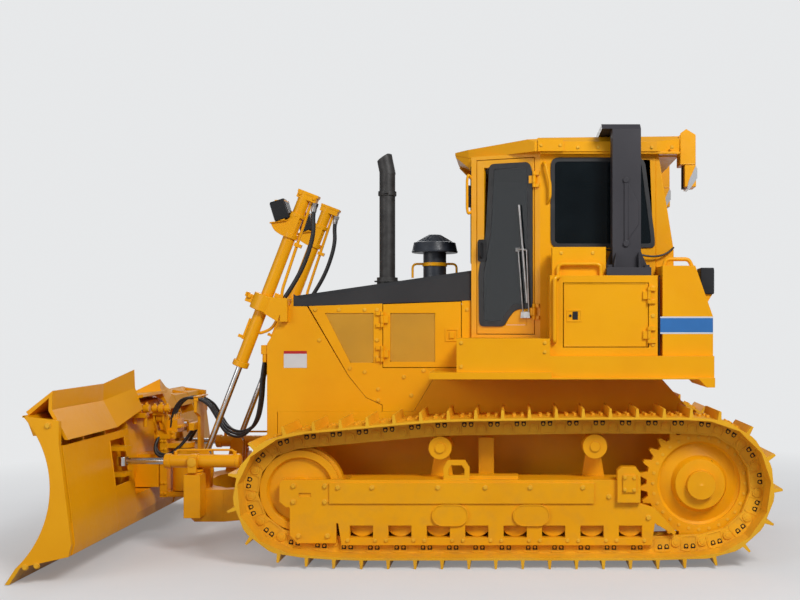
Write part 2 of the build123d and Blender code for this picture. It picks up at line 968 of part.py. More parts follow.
with BuildPart() as cab_shell:
    plan_profile(cab_plan, platform_z + 0.5, cab_top)
    with BuildSketch(Plane.XY.offset(cab_floor)) as room:
        with BuildLine():
            Polyline(*cab_plan, close=True)
        make_face()
        offset(amount=-wall, kind=Kind.INTERSECTION)
    extrude(room.sketch, amount=cab_top - cab_floor - 40, mode=Mode.SUBTRACT)
    for side in SIDES.values():
        door_box(
            side,
            (door_back_edge, door_front_edge),
            (door_low, door_high),
            (-wall - 10, 10),
            mode=Mode.SUBTRACT,
        )
        side_profile(
            side_window,
            *across(side, cab_half_width - wall - 5, cab_half_width + 5),
            mode=Mode.SUBTRACT,
        )
    block(
        (cab_front - wall - 10, cab_front + 10),
        (-cab_front_half_width + 70, cab_front_half_width - 70),
        (2330, window_high),
        mode=Mode.SUBTRACT,
    )
    block(
        (cab_rear - 10, cab_rear + wall + 10), (-560, 560), (2350, window_high), mode=Mode.SUBTRACT
    )
    # fixed hinge knuckles, below and above each door's own
    for side in SIDES.values():
        for low in cab_hinge_lows:
            for low_z, high_z in hinge_spans(low):
                knuckle = on_door(side, door_back_edge, low_z, hinge_out)
                bar(knuckle, (knuckle.X, knuckle.Y, high_z), hinge_radius)
                door_box(side, (door_back_edge - 40, door_back_edge), (low_z, high_z), (0, hinge_out))
finish(cab_shell.part, "cab_shell")

pane = 10
with BuildPart() as cab_glass:
    for side in SIDES.values():
        side_profile(
            side_window,
            *across(side, cab_half_width - pane - 12, cab_half_width - 12),
        )
    block(
        (cab_front - pane - 12, cab_front - 12),
        (-cab_front_half_width + 70, cab_front_half_width - 70),
        (2330, window_high),
    )
    block((cab_rear + 12, cab_rear + 12 + pane), (-560, 560), (2350, window_high))
finish(cab_glass.part, "cab_glass")

for side_name, side in SIDES.items():
    leaf_span = (door_back_edge + leaf_gap, door_front_edge - leaf_gap)
    leaf_up = (door_low + leaf_gap, door_high - leaf_gap)
    glass_span = (leaf_span[0] + 60, leaf_span[1] - 60)
    glass_up = (leaf_up[0] + 70, leaf_up[1] - 60)
    with BuildPart() as cab_door:
        door_box(side, leaf_span, leaf_up, (-wall + 5, 0))
        door_box(side, glass_span, glass_up, (-wall, 5), mode=Mode.SUBTRACT)
        for low in cab_hinge_lows:
            high = low + knuckle_length
            knuckle = on_door(side, door_back_edge, low, hinge_out)
            bar(knuckle, (knuckle.X, knuckle.Y, high), hinge_radius)
            door_box(side, (door_back_edge, door_back_edge + 45), (low, high), (0, hinge_out))
    finish(cab_door.part, f"cab_door_{side_name}")
    with BuildPart() as door_glass:
        door_box(side, glass_span, glass_up, (-22, -12))
    finish(door_glass.part, f"door_glass_{side_name}")

# (x, half width) round the roof's edge
roof_side = cab_half_width + 65
roof_plan = (
    (-285, 300),
    (-400, 420),
    (-940, roof_side),
    (-1900, roof_side),
    (-2090, roof_side - 60),
)
roof_height = 140
# (x, height above the cab) along the roof's top and under its visor
roof_top_line = ((-285, 74), (-851, 100), (-955, 108), (-968, 122), (-2090, roof_height))
visor_under = ((-285, 52), (-440, 0))
with BuildPart() as cab_roof:
    edge = list(roof_plan) + [(x, -y) for x, y in reversed(roof_plan)]
    plan_profile(edge, cab_top, cab_top + roof_height + 20)
    side_profile(
        [(x, cab_top + up) for x, up in roof_top_line]
        + [(-2200, cab_top + roof_height), (-2200, cab_top + 300), (-200, cab_top + 300),
           (-200, cab_top + 74)],
        -roof_side - 50,
        roof_side + 50,
        mode=Mode.SUBTRACT,
    )
    side_profile(
        [(x, cab_top + up) for x, up in visor_under] + [(-440, cab_top - 60), (-200, cab_top - 60),
                                                        (-200, cab_top + 52)],
        -roof_side,
        roof_side,
        mode=Mode.SUBTRACT,
    )
    for side in SIDES.values():
        # the top's long edges slope away
        front_profile(
            (
                (side * (roof_side - 110), cab_top + roof_height + 30),
                (side * (roof_side + 30), cab_top + roof_height + 30),
                (side * (roof_side + 30), cab_top + 70),
                (side * roof_side, cab_top + 78),
                (side * (roof_side - 110), cab_top + roof_height - 2),
            ),
            -2200,
            -200,
            mode=Mode.SUBTRACT,
        )
        block((-1165, -965), across(side, roof_side - 60, roof_side + 12),
              (cab_top, cab_top + 92))
finish(cab_roof.part, "cab_roof")

with BuildPart() as operator_seat:
    block((-1560, -1060), (-250, 250), (cab_floor, 1960))
    block((-1520, -1040), (-250, 250), (1960, 2080))
    side_profile(((-1500, 2080), (-1390, 2080), (-1480, 2680), (-1580, 2680)), -240, 240)
    for side in SIDES.values():
        block((-1500, -950), across(side, 290, 420), (cab_floor, 2180))
finish(operator_seat.part, "operator_seat")

# ---------------------------------------------------------------- roll-over frame

rops_in = cab_half_width + 80
rops_out = rops_in + 160
rops_front = -1535
rops_back = -1755
rops_beam_low = cab_top + roof_height + 5
rops_top = rops_beam_low + 46
rops_foot = 2262
foot_plate_x = (-1820, -1482)
gusset_height = 150
with BuildPart() as rops_posts:
    for side in SIDES.values():
        block((rops_back, rops_front), across(side, rops_in, rops_out), (rops_foot, rops_beam_low))
        block(foot_plate_x, across(side, service_in, service_out), (service_top, rops_foot))
        for edge_x, foot_x in ((rops_front, foot_plate_x[1]), (rops_back, foot_plate_x[0])):
            side_profile(
                ((edge_x, rops_foot), (foot_x, rops_foot), (edge_x, rops_foot + gusset_height)),
                *across(side, rops_in + 68, rops_in + 92),
            )
finish(rops_posts.part, "rops_posts")

with BuildPart() as rops_beam:
    front_profile(
        (
            (-rops_out, rops_beam_low),
            (-rops_out + 60, rops_top),
            (rops_out - 60, rops_top),
            (rops_out, rops_beam_low),
        ),
        rops_back,
        rops_front + 80,
    )
finish(rops_beam.part, "rops_beam")

# ---------------------------------------------------------------- drawbar

drawbar_z = 560
drawbar_pin_x = -2390
drawbar_pin_radius = 26
with BuildPart() as drawbar:
    block((-2300, -2180), (-170, 170), (400, 800))
    for low in (drawbar_z - 80, drawbar_z + 45):
        block((drawbar_pin_x, -2300), (-85, 85), (low, low + 35))
        bar((drawbar_pin_x, 0, low), (drawbar_pin_x, 0, low + 35), 85)
    bar(
        (drawbar_pin_x, 0, drawbar_z - 90),
        (drawbar_pin_x, 0, drawbar_z + 90),
        drawbar_pin_radius,
        mode=Mode.SUBTRACT,
    )
finish(drawbar.part, "drawbar")

# ---------------------------------------------------------------- handrails and lamps

rail_radius = 16
with BuildPart() as handrails:
    for side in SIDES.values():
        rail_y = side * (service_out + 35)
        top_y = side * (service_out - 100)
        pipe(
            (
                (-1085, side * service_out, 1700),
                (-1085, rail_y, 1700),
                (-1085, rail_y, 2300),
                (-1085, side * (service_out - 60), 2300),
            ),
            rail_radius,
            25,
        )
        for front_x, rear_x, low in ((-1110, -1440, upper_box_top), (-1930, -2120, tank_top)):
            pipe(
                (
                    (front_x, top_y, low),
                    (front_x, top_y, low + 82),
                    (rear_x, top_y, low + 82),
                    (rear_x, top_y, low),
                ),
                rail_radius,
                30,
            )
finish(handrails.part, "handrails")

rear_lamp_low = 2925
with BuildPart() as work_lamps:
    for side in SIDES.values():
        lamp_plate_y = across(side, 650, 710)
        block((-2125, roof_plan[-1][0]), lamp_plate_y, (cab_top + 10, cab_top + 40))
        block((-2137, -2120), lamp_plate_y, (rear_lamp_low - 14, cab_top + 150))
        block((-2216, -2136), across(side, 600, 760), (rear_lamp_low, rear_lamp_low + 150))
finish(work_lamps.part, "work_lamps")

# ---------------------------------------------------------------- push frame

arm_profile = (
    (-100, 585),
    (900, 535),
    (1560, 501),
    (1560, 243),
    (900, 300),
    (-100, 375),
)
with BuildPart() as push_arms:
    for side in SIDES.values():
        arm_y = across(side, arm_in, arm_out)
        side_profile(arm_profile, *arm_y)
        bar(
            (push_pivot[0], arm_y[0], push_pivot[1]),
            (push_pivot[0], arm_y[1], push_pivot[1]),
            105,
        )
        bar(
            (push_pivot[0], arm_y[0], push_pivot[1]),
            (push_pivot[0], arm_y[1], push_pivot[1]),
            60 + pin_clearance,
            mode=Mode.SUBTRACT,
        )
finish(push_arms.part, "push_arms")

cross_half = (
    (1560, arm_out),
    (1790, arm_out),
    (1965, 300),
    (1975, 110),
)
cross_inner_half = ((1820, 150), (1690, 430), (1560, arm_in))
nose_radius = 95
nose_pin_radius = 50
nose_low = 400
nose_high = 760
yoke_gap = 8
yoke_plate = 42
eye_gap = 6
lift_eye_half = 25
hose_plate = ((-50, 700), (50, 700), (50, 1040), (150, 1080), (150, 1180), (-150, 1180),
              (-150, 1080), (-50, 1040))
with BuildPart() as push_cross:
    outer = list(cross_half) + [(x, -y) for x, y in reversed(cross_half)]
    inner = [(x, -y) for x, y in reversed(cross_inner_half)] + list(cross_inner_half)
    plan_profile(outer + inner, 243, 501)
    block((1850, nose_x), (-80, 80), (nose_low + 10, nose_high - 20))
    bar((nose_x, 0, nose_low), (nose_x, 0, nose_high), nose_radius)
    # the plate that the hoses cross on, standing behind the nose
    front_profile(hose_plate, 1925, 1950)
    bar(
        (nose_x, 0, nose_low - yoke_gap - yoke_plate),
        (nose_x, 0, nose_high + yoke_gap + yoke_plate),
        nose_pin_radius,
    )
    for side in SIDES.values():
        for near, far in ((lift_eye_half + eye_gap, 51), (-51, -lift_eye_half - eye_gap)):
            side_profile(
                (
                    (1700, 501),
                    (1850, 501),
                    (1800, 761),
                    (1775, 808),
                    (1715, 808),
                    (1690, 761),
                ),
                *across(side, lift_y + near, lift_y + far),
            )
        block((1700, 1830), across(side, arm_out, 790), (300, 640))
        bar(
            (angle_trunnion_x, side * angle_y, 600),
            (angle_trunnion_x, side * angle_y, 651),
            62,
        )
        bar(
            (angle_trunnion_x, side * angle_y, 640),
            (angle_trunnion_x, side * angle_y, 674),
            30,
        )
finish(push_cross.part, "push_cross")

pivot_block_x = (2195, 2255)
tilt_pin_radius = 60
with BuildPart() as blade_pivot:
    for low in (nose_low - yoke_gap - yoke_plate, nose_high + yoke_gap):
        bar((nose_x, 0, low), (nose_x, 0, low + yoke_plate), 90)
        block((nose_x, pivot_block_x[1]), (-90, 90), (low, low + yoke_plate))
    block(pivot_block_x, (-110, 110), (350, 900))
    bar(
        (nose_x, 0, 300),
        (nose_x, 0, 900),
        nose_pin_radius + pin_clearance,
        mode=Mode.SUBTRACT,
    )
    bar((pivot_block_x[1] - 5, 0, tilt_z), (2345, 0, tilt_z), tilt_pin_radius)
    for near, far in ((-46, -31), (31, 46)):
        front_profile(
            ((20, 880), (110, 880), (200, 1000), (200, 1085), (100, 1085), (90, 960)),
            tilt_x + near,
            tilt_x + far,
        )
    block((tilt_x - 46, tilt_x + 46), (-110, 110), (840, 900))
    bar(
        (tilt_x - 60, *tilt_trunnion),
        (tilt_x + 60, *tilt_trunnion),
        20 + pin_clearance,
        mode=Mode.SUBTRACT,
    )
finish(blade_pivot.part, "blade_pivot")

# ---------------------------------------------------------------- blade

mould_thickness = 32
rib_back = ((2406, 1153), (2406, 981), (2352, 563), (2320, 285), (2340, 200))
inner_rib_back = ((2472, 1161), (2404, 1000), (2352, 563), (2320, 285), (2340, 200))


def arc_pair(offset_x, end_top, end_low):
    """The mouldboard's curve, moved back by offset_x."""
    return (
        (end_top[0] - offset_x, end_top[1]),
        (blade_deepest[0] - offset_x, blade_deepest[1]),
        (end_low[0] - offset_x, end_low[1]),
    )


def mould_section(y_low, y_high, back=None):
    """The curved plate, or with a back outline a full rib, between two side planes."""
    front = arc_pair(0, blade_top, blade_toe)
    with BuildSketch(Plane.XZ.offset(-y_high)) as section:
        with BuildLine():
            ThreePointArc(*front)
            if back is None:
                rear = arc_pair(mould_thickness, blade_top, blade_toe)
                ThreePointArc(*rear)
                Line(front[0], rear[0])
                Line(front[2], rear[2])
            else:
                Polyline(front[0], *back, front[2])
        make_face()
    extrude(section.sketch, amount=y_high - y_low)


rib_ys = (450, 900, 1300)
with BuildPart() as blade:
    mould_section(-blade_half_width, blade_half_width)
    for side in SIDES.values():
        mould_section(*across(side, blade_half_width - 40, blade_half_width), back=rib_back)
        for rib_y in rib_ys:
            mould_section(*across(side, rib_y - 12, rib_y + 12), back=inner_rib_back)
    side_profile(
        ((2650, 180), (2340, 200), (2320, 285), (2338, 430), (2500, 430)),
        -blade_half_width + 30,
        blade_half_width - 30,
    )
    side_profile(
        ((2640, 1150), (2472, 1153), (2425, 1045), (2600, 1045)),
        -blade_half_width + 30,
        blade_half_width - 30,
    )
    block((2262, 2460), (-125, 125), (440, 720))
    bar(
        (2250, 0, tilt_z),
        (2350, 0, tilt_z),
        tilt_pin_radius + pin_clearance,
        mode=Mode.SUBTRACT,
    )
    for side in SIDES.values():
        for low in (angle_z - 88 - 30, angle_z + 88):
            block((2300, 2460), across(side, angle_y - 75, angle_y + 75), (low, low + 30))
    for near, far in ((-52, -34), (34, 52)):
        block((tilt_x + near, tilt_x + far), (-590, -440), (850, 950))
    block((tilt_x - 52, 2460), (-590, -560), (850, 950))
finish(blade.part, "blade")

with BuildPart() as cutting_edge:
    edge_profile = (
        blade_toe,
        blade_tip,
        (blade_tip[0] - 32, blade_tip[1]),
        (blade_toe[0] - mould_thickness, blade_toe[1]),
    )
    side_profile(edge_profile, -blade_half_width, blade_half_width)
finish(cutting_edge.part, "cutting_edge")

guard_foot_in = (2640, 1187)  # on the blade's top edge
guard_foot_out = (2660, 1212)


def guard_section(ridge, bend, back):
    """The folded sheet's outline: up from the blade's top to the ridge, and down behind."""
    return (
        guard_foot_in,
        guard_foot_out,
        ridge,
        bend,
        back,
        (back[0] + 26, back[1]),
        (bend[0] + 26, bend[1] - 6),
        (ridge[0] + 27, ridge[1] - 52),
    )


# the left half stands higher than the right one
guard_left_outer = guard_section((2472, 1361), (2476, 1227), (2362, 1015))
guard_left_peak = guard_section((2401, 1452), (2395, 1300), (2330, 1120))
guard_right_peak = guard_section((2396, 1342), (2392, 1250), (2330, 1120))
guard_right_outer = guard_section((2500, 1240), (2470, 1226), (2440, 1200))
guard_inner_y = 300
guard_fold_y = 760
guard_outer_y = 1650


def guard_loft(outer, peak, side):
    """One half's sheet between its outer fold and its peak."""
    sections = []
    for outline, y in ((outer, guard_fold_y), (peak, guard_inner_y)):
        with BuildSketch(Plane.XZ.offset(-side * y)) as fold:
            with BuildLine():
                Polyline(*outline, close=True)
            make_face()
        sections.append(fold.sketch)
    loft(sections, ruled=True)


with BuildPart() as blade_guard:
    side_profile(guard_left_outer, guard_fold_y, guard_outer_y)
    guard_loft(guard_left_outer, guard_left_peak, LEFT)
    guard_loft(guard_right_outer, guard_right_peak, RIGHT)
    for side, (ridge, bend) in (
        (LEFT, ((2415, 1430), (2408, 1300))),
        (RIGHT, ((2412, 1322), (2405, 1250))),
    ):
        side_profile(
            ((2640, 1195), ridge, bend, (2352, 1140), (2440, 1190)),
            *across(side, guard_inner_y, guard_inner_y + 22),
        )
    side_profile(
        (guard_foot_in, guard_foot_out, (2400, 1232), (2330, 1244), (2330, 1219), (2400, 1206)),
        -guard_inner_y,
        guard_inner_y,
    )
finish(blade_guard.part, "blade_guard")

# ---------------------------------------------------------------- cylinders

lift_length = hypot(lift_eye[0] - lift_trunnion[0], lift_eye[1] - lift_trunnion[1])
lift_dir = (
    (lift_eye[0] - lift_trunnion[0]) / lift_length,
    (lift_eye[1] - lift_trunnion[1]) / lift_length,
)


def along_lift(side, distance):
    """A point on the lift cylinder's axis, from its trunnion towards the eye."""
    return (
        lift_trunnion[0] + lift_dir[0] * distance,
        side * lift_y,
        lift_trunnion[1] + lift_dir[1] * distance,
    )


def lift_outline(corners):
    """An (x, z) outline from (distance along, distance in front of) the cylinder's axis."""
    return [
        (
            lift_trunnion[0] + lift_dir[0] * along - lift_dir[1] * ahead,
            lift_trunnion[1] + lift_dir[1] * along + lift_dir[0] * ahead,
        )
        for along, ahead in corners
    ]


cap_outline = lift_outline(((-974, -105), (-974, 58), (-915, 58), (-915, -105)))
lamp_box = ((1080, 1161), (2672, 2838))  # x and z spans
lamp_arm = ((975, 1085), (2651, 2675))

for side_name, side in SIDES.items():
    with BuildPart() as lift_barrel:
        bar(along_lift(side, -974), along_lift(side, 547), 50)
        side_profile(cap_outline, *across(side, lift_y - 46, lift_y + 46))
        block(lamp_box[0], across(side, lift_y - 85, lift_y + 85), lamp_box[1])
        block(lamp_arm[0], across(side, lift_y - 40, lift_y + 40), lamp_arm[1])
        bar(along_lift(side, -50), along_lift(side, 50), 58)
        bar(along_lift(side, 500), along_lift(side, 547), 60)
        bar(
            (lift_trunnion[0], side * (lift_y - 84), lift_trunnion[1]),
            (lift_trunnion[0], side * (lift_y + 84), lift_trunnion[1]),
            28,
        )
        bar(along_lift(side, -950), along_lift(side, 500), 36, mode=Mode.SUBTRACT)
        bar(along_lift(side, 490), along_lift(side, 560), 24 + pin_clearance, mode=Mode.SUBTRACT)
    finish(lift_barrel.part, f"lift_barrel_{side_name}")
    with BuildPart() as lift_rod:
        bar(along_lift(side, lift_length - 1210), along_lift(side, lift_length - 20), 24)
        bar(
            (lift_eye[0], side * (lift_y - lift_eye_half), lift_eye[1]),
            (lift_eye[0], side * (lift_y + lift_eye_half), lift_eye[1]),
            45,
        )
    finish(lift_rod.part, f"lift_rod_{side_name}")

    t = angle_trunnion_x
    y = side * angle_y
    with BuildPart() as angle_yoke:
        bar((t, y, 656), (t, y, 674), 62)
        for near, far in ((66, 92), (-92, -66)):
            block((t - 34, t + 34), sorted((y + near, y + far)), (656, 780))
        block((t - 34, t + 34), (y - 92, y + 92), (656, 674))
        bar((t, y, 650), (t, y, 680), 30 + pin_clearance, mode=Mode.SUBTRACT)
        bar((t, y - 95, angle_z), (t, y + 95, angle_z), 24 + pin_clearance, mode=Mode.SUBTRACT)
    finish(angle_yoke.part, f"angle_yoke_{side_name}")
    with BuildPart() as angle_barrel:
        bar((t - 362, y, angle_z), (t + 240, y, angle_z), 52)
        bar((t - 30, y, angle_z), (t + 30, y, angle_z), 58)
        bar((t, y - 92, angle_z), (t, y + 92, angle_z), 24)
        bar((t - 350, y, angle_z), (t + 200, y, angle_z), 36, mode=Mode.SUBTRACT)
        bar((t + 190, y, angle_z), (t + 250, y, angle_z), 26 + pin_clearance, mode=Mode.SUBTRACT)
    finish(angle_barrel.part, f"angle_barrel_{side_name}")
    with BuildPart() as angle_rod:
        bar((angle_eye_x - 645, y, angle_z), (angle_eye_x - 20, y, angle_z), 26)
        bar((angle_eye_x, y, angle_z - 35), (angle_eye_x, y, angle_z + 35), 45)
    finish(angle_rod.part, f"angle_rod_{side_name}")

tilt_length = hypot(tilt_eye[0] - tilt_trunnion[0], tilt_eye[1] - tilt_trunnion[1])
tilt_dir = (
    (tilt_eye[0] - tilt_trunnion[0]) / tilt_length,
    (tilt_eye[1] - tilt_trunnion[1]) / tilt_length,
)


def along_tilt(distance):
    """A point on the tilt cylinder's axis, from its fixed eye towards the rod's."""
    return (
        tilt_x,
        tilt_trunnion[0] + tilt_dir[0] * distance,
        tilt_trunnion[1] + tilt_dir[1] * distance,
    )


with BuildPart() as tilt_barrel:
    bar(along_tilt(30), along_tilt(85), 24)
    bar(along_tilt(80), along_tilt(430), 46)
    bar(
        (tilt_x - 25, *tilt_trunnion),
        (tilt_x + 25, *tilt_trunnion),
        42,
    )
    bar((tilt_x - 46, *tilt_trunnion), (tilt_x + 46, *tilt_trunnion), 20)
    bar(along_tilt(95), along_tilt(400), 32, mode=Mode.SUBTRACT)
    bar(along_tilt(390), along_tilt(440), 25 + pin_clearance, mode=Mode.SUBTRACT)
finish(tilt_barrel.part, "tilt_barrel")

with BuildPart() as tilt_rod:
    bar(along_tilt(150), along_tilt(tilt_length - 20), 25)
    bar((tilt_x - 28, *tilt_eye), (tilt_x + 28, *tilt_eye), 40)
finish(tilt_rod.part, "tilt_rod")
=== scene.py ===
"""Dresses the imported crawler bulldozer: finishes, trim, fasteners, hoses, floor, light and camera.

Everything is in the machine's own frame: +X forward, +Y left, +Z up. Lengths are in metres,
and in millimetres where MM turns them into metres.
"""

from math import acos, atan2, cos, hypot, pi, radians, sin

import bmesh
import bpy
from mathutils import Matrix, Vector


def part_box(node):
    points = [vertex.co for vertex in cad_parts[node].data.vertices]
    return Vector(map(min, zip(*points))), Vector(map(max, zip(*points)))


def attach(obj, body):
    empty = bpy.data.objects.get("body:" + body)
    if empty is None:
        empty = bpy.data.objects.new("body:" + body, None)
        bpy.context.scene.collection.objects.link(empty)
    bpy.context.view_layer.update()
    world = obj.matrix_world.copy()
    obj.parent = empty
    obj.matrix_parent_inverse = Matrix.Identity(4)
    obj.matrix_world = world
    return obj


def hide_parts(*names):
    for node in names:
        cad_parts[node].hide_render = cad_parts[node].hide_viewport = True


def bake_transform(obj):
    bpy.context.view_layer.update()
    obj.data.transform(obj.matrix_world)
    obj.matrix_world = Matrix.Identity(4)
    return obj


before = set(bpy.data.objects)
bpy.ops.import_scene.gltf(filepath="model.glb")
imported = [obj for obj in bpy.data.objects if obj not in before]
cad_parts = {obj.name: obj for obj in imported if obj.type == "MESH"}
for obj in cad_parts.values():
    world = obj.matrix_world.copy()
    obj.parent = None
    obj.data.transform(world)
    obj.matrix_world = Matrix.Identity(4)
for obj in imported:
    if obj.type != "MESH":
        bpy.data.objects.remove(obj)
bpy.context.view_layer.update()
scene = bpy.context.scene
scene.view_settings.view_transform = "Standard"

LEFT = 1
RIGHT = -1
SIDES = {"left": LEFT, "right": RIGHT}
MM = 0.001

# ------------------------------------------------------------------ materials

# dust brown, laid on low down both as dust and as painted shade
DUST_AND_SHADE = (0.36, 0.2, 0.07)


class Nodes:
    """A material's node tree with its shader, and short ways to add nodes to it."""

    def __init__(self, name):
        self.material = bpy.data.materials.new(name)
        self.material.use_nodes = True
        self.tree = self.material.node_tree
        self.shader = self.tree.nodes["Principled BSDF"]

    def add(self, kind, **values):
        node = self.tree.nodes.new(kind)
        for key, value in values.items():
            setattr(node, key, value)
        return node

    def link(self, output, socket):
        self.tree.links.new(output, socket)

    def fix(self, **values):
        """Sets the shader's own sockets."""
        for key, value in values.items():
            self.shader.inputs[key.replace("_", " ")].default_value = value

    def colour(self, output):
        self.link(output, self.shader.inputs["Base Color"])

    def roughness(self, low, high, scale, detail=3):
        """Gloss that wanders between two roughness values."""
        spread = self.spread(self.noise(scale, detail), low, high)
        self.link(spread, self.shader.inputs["Roughness"])

    def place(self):
        """The point in the machine's frame."""
        return self.add("ShaderNodeTexCoord").outputs["Object"]

    def parts(self):
        """The point's X, Y and Z outputs."""
        node = self.add("ShaderNodeSeparateXYZ")
        self.link(self.place(), node.inputs[0])
        return node.outputs

    def noise(self, scale, detail=4, vector=None, roughness=0.55):
        node = self.add("ShaderNodeTexNoise")
        node.inputs["Scale"].default_value = scale
        node.inputs["Detail"].default_value = detail
        node.inputs["Roughness"].default_value = roughness
        self.link(vector or self.place(), node.inputs["Vector"])
        return node.outputs["Fac"]

    def ramp(self, factor, low, high, start=0.0, end=1.0):
        """Colours from low to high as the factor goes from start to end."""
        node = self.add("ShaderNodeValToRGB")
        node.color_ramp.elements[0].position = start
        node.color_ramp.elements[0].color = (*low, 1)
        node.color_ramp.elements[1].position = end
        node.color_ramp.elements[1].color = (*high, 1)
        self.link(factor, node.inputs["Fac"])
        return node.outputs["Color"]

    def spread(self, factor, low, high, start=0.3, end=0.7):
        """A number from low to high as the factor goes from start to end."""
        node = self.add("ShaderNodeMapRange")
        for key, value in (
            ("From Min", start),
            ("From Max", end),
            ("To Min", low),
            ("To Max", high),
        ):
            node.inputs[key].default_value = value
        self.link(factor, node.inputs["Value"])
        return node.outputs["Result"]

    def mix(self, factor, first, second):
        node = self.add("ShaderNodeMix", data_type="RGBA")
        self.link(factor, node.inputs["Factor"])
        for socket, value in ((6, first), (7, second)):
            if isinstance(value, tuple):
                node.inputs[socket].default_value = (*value, 1)
            else:
                self.link(value, node.inputs[socket])
        return node.outputs[2]

    def math(self, operation, first, second=0.0):
        node = self.add("ShaderNodeMath", operation=operation)
        for socket, value in ((0, first), (1, second)):
            if isinstance(value, (int, float)):
                node.inputs[socket].default_value = value
            else:
                self.link(value, node.inputs[socket])
        return node.outputs[0]

    def soft_edges(self, radius):
        """Rounds the shading of sharp edges, as paint and pressing do."""
        node = self.add("ShaderNodeBevel", samples=4)
        node.inputs["Radius"].default_value = radius
        return node.outputs["Normal"]

    def bump(self, height, strength, distance, normal=None):
        node = self.add("ShaderNodeBump")
        node.inputs["Strength"].default_value = strength
        node.inputs["Distance"].default_value = distance
        self.link(height, node.inputs["Height"])
        if normal is not None:
            self.link(normal, node.inputs["Normal"])
        self.link(node.outputs["Normal"], self.shader.inputs["Normal"])


def paint(name, colour, shade, rough=0.36, dust_and_shade=0.0, edge=0.004):
    """Sprayed paint: slow colour drift, orange peel, and dust with painted shade that darkens it low
    down.
    """
    m = Nodes(name)
    body = m.ramp(m.noise(1.7, 3), shade, colour, 0.3, 0.62)
    if dust_and_shade:
        # darker towards the bottom: dust, and painted shade for the shaded lower parts
        low_dust_and_shade = m.spread(m.parts()["Z"], 1.0, 0.0, 0.05, 1.1)
        streak = m.spread(m.noise(9, 6), 0.0, 1.0, 0.45, 0.75)
        cover = m.math("MULTIPLY", m.math("MULTIPLY", low_dust_and_shade, streak), dust_and_shade)
        body = m.mix(cover, body, DUST_AND_SHADE)
    m.colour(body)
    m.roughness(rough - 0.05, rough + 0.1, 22, 4)
    m.fix(Coat_Weight=0.05, Coat_Roughness=0.25, Specular_IOR_Level=0.22)
    m.bump(m.noise(620, 2), 0.05, 0.0006, m.soft_edges(edge))
    return m.material


def plain_metal(name, colour, shade, rough, metallic=1.0, grain=240):
    m = Nodes(name)
    m.colour(m.ramp(m.noise(14, 5), shade, colour, 0.35, 0.65))
    m.roughness(rough - 0.04, rough + 0.08, 40)
    m.fix(Metallic=metallic)
    m.bump(m.noise(grain, 3), 0.06, 0.0005, m.soft_edges(0.002))
    return m.material


def rubber(name, colour, rough=0.62, grain=180):
    m = Nodes(name)
    light = tuple(min(1, part * 1.7 + 0.004) for part in colour)
    m.colour(m.ramp(m.noise(11, 5), colour, light, 0.35, 0.7))
    m.roughness(rough - 0.08, rough + 0.08, 60)
    m.bump(m.noise(grain, 3), 0.15, 0.0008)
    return m.material


def glass(name, tint, alpha):
    """Tinted glass with a slight film."""
    m = Nodes(name)
    film = tuple(part * 1.6 + 0.002 for part in tint)
    m.colour(m.ramp(m.noise(2.2, 3), tint, film, 0.3, 0.7))
    m.roughness(0.03, 0.09, 5, 4)
    m.fix(Alpha=alpha, IOR=1.4, Specular_IOR_Level=0.3)
    m.material.surface_render_method = "BLENDED"
    return m.material


def perforated(name, colour, hole, pitch, share, axes=("X", "Z")):
    """Punched sheet: round holes on a grid, drawn as dark dots of painted shade."""
    m = Nodes(name)
    point = m.parts()
    waves = [m.math("SINE", m.math("MULTIPLY", point[axis], 2 * pi / pitch)) for axis in axes]
    dots = m.spread(m.math("MULTIPLY", *waves), 0.0, 1.0, 1 - share, 1 - share + 0.12)
    shade = tuple(part * 0.86 for part in colour)
    # the hole colour is painted shade, the dark space behind the sheet
    m.colour(m.mix(dots, m.ramp(m.noise(3, 3), shade, colour, 0.3, 0.7), hole))
    m.roughness(0.42, 0.56, 25)
    m.bump(m.math("MULTIPLY", dots, -1.0), 0.5, 0.001)
    return m.material


def lamp_glass(name, rib_pitch=0.012):
    """Ribbed lamp lens: a pale painted reflection of the reflector behind it, with lighter and
    darker bands of painted highlight along the ribs.
    """
    m = Nodes(name)
    # the ribs set lighter and darker bands: painted highlights along the lens
    ribs = m.math("SINE", m.math("MULTIPLY", m.parts()["Y"], 2 * pi / rib_pitch))
    m.colour(m.ramp(ribs, (0.62, 0.64, 0.66), (0.92, 0.93, 0.95)))
    m.fix(Roughness=0.12, Metallic=0.35, Coat_Weight=0.8)
    m.bump(ribs, 0.4, 0.001)
    return m.material


def stripe_paint(name, colour, border, low, high, band):
    """A painted stripe between two heights, with a thin pale border line at each edge."""
    m = Nodes(name)
    above_middle = m.math("SUBTRACT", m.parts()["Z"], (low + high) / 2)
    edge = m.math("GREATER_THAN", m.math("ABSOLUTE", above_middle), (high - low) / 2 - band)
    shade = tuple(part * 0.88 for part in colour)
    m.colour(m.mix(edge, m.ramp(m.noise(6, 3), shade, colour, 0.3, 0.7), border))
    m.roughness(0.3, 0.4, 30)
    m.bump(m.noise(500, 2), 0.04, 0.0005)
    return m.material


PERFORATED_YELLOW = (0.74, 0.36, 0.008)
YELLOW = (0.9, 0.405, 0.003)
YELLOW_SHADE = (0.85, 0.36, 0.002)
STRIPE_LOW, STRIPE_HIGH = 1.757, 1.889

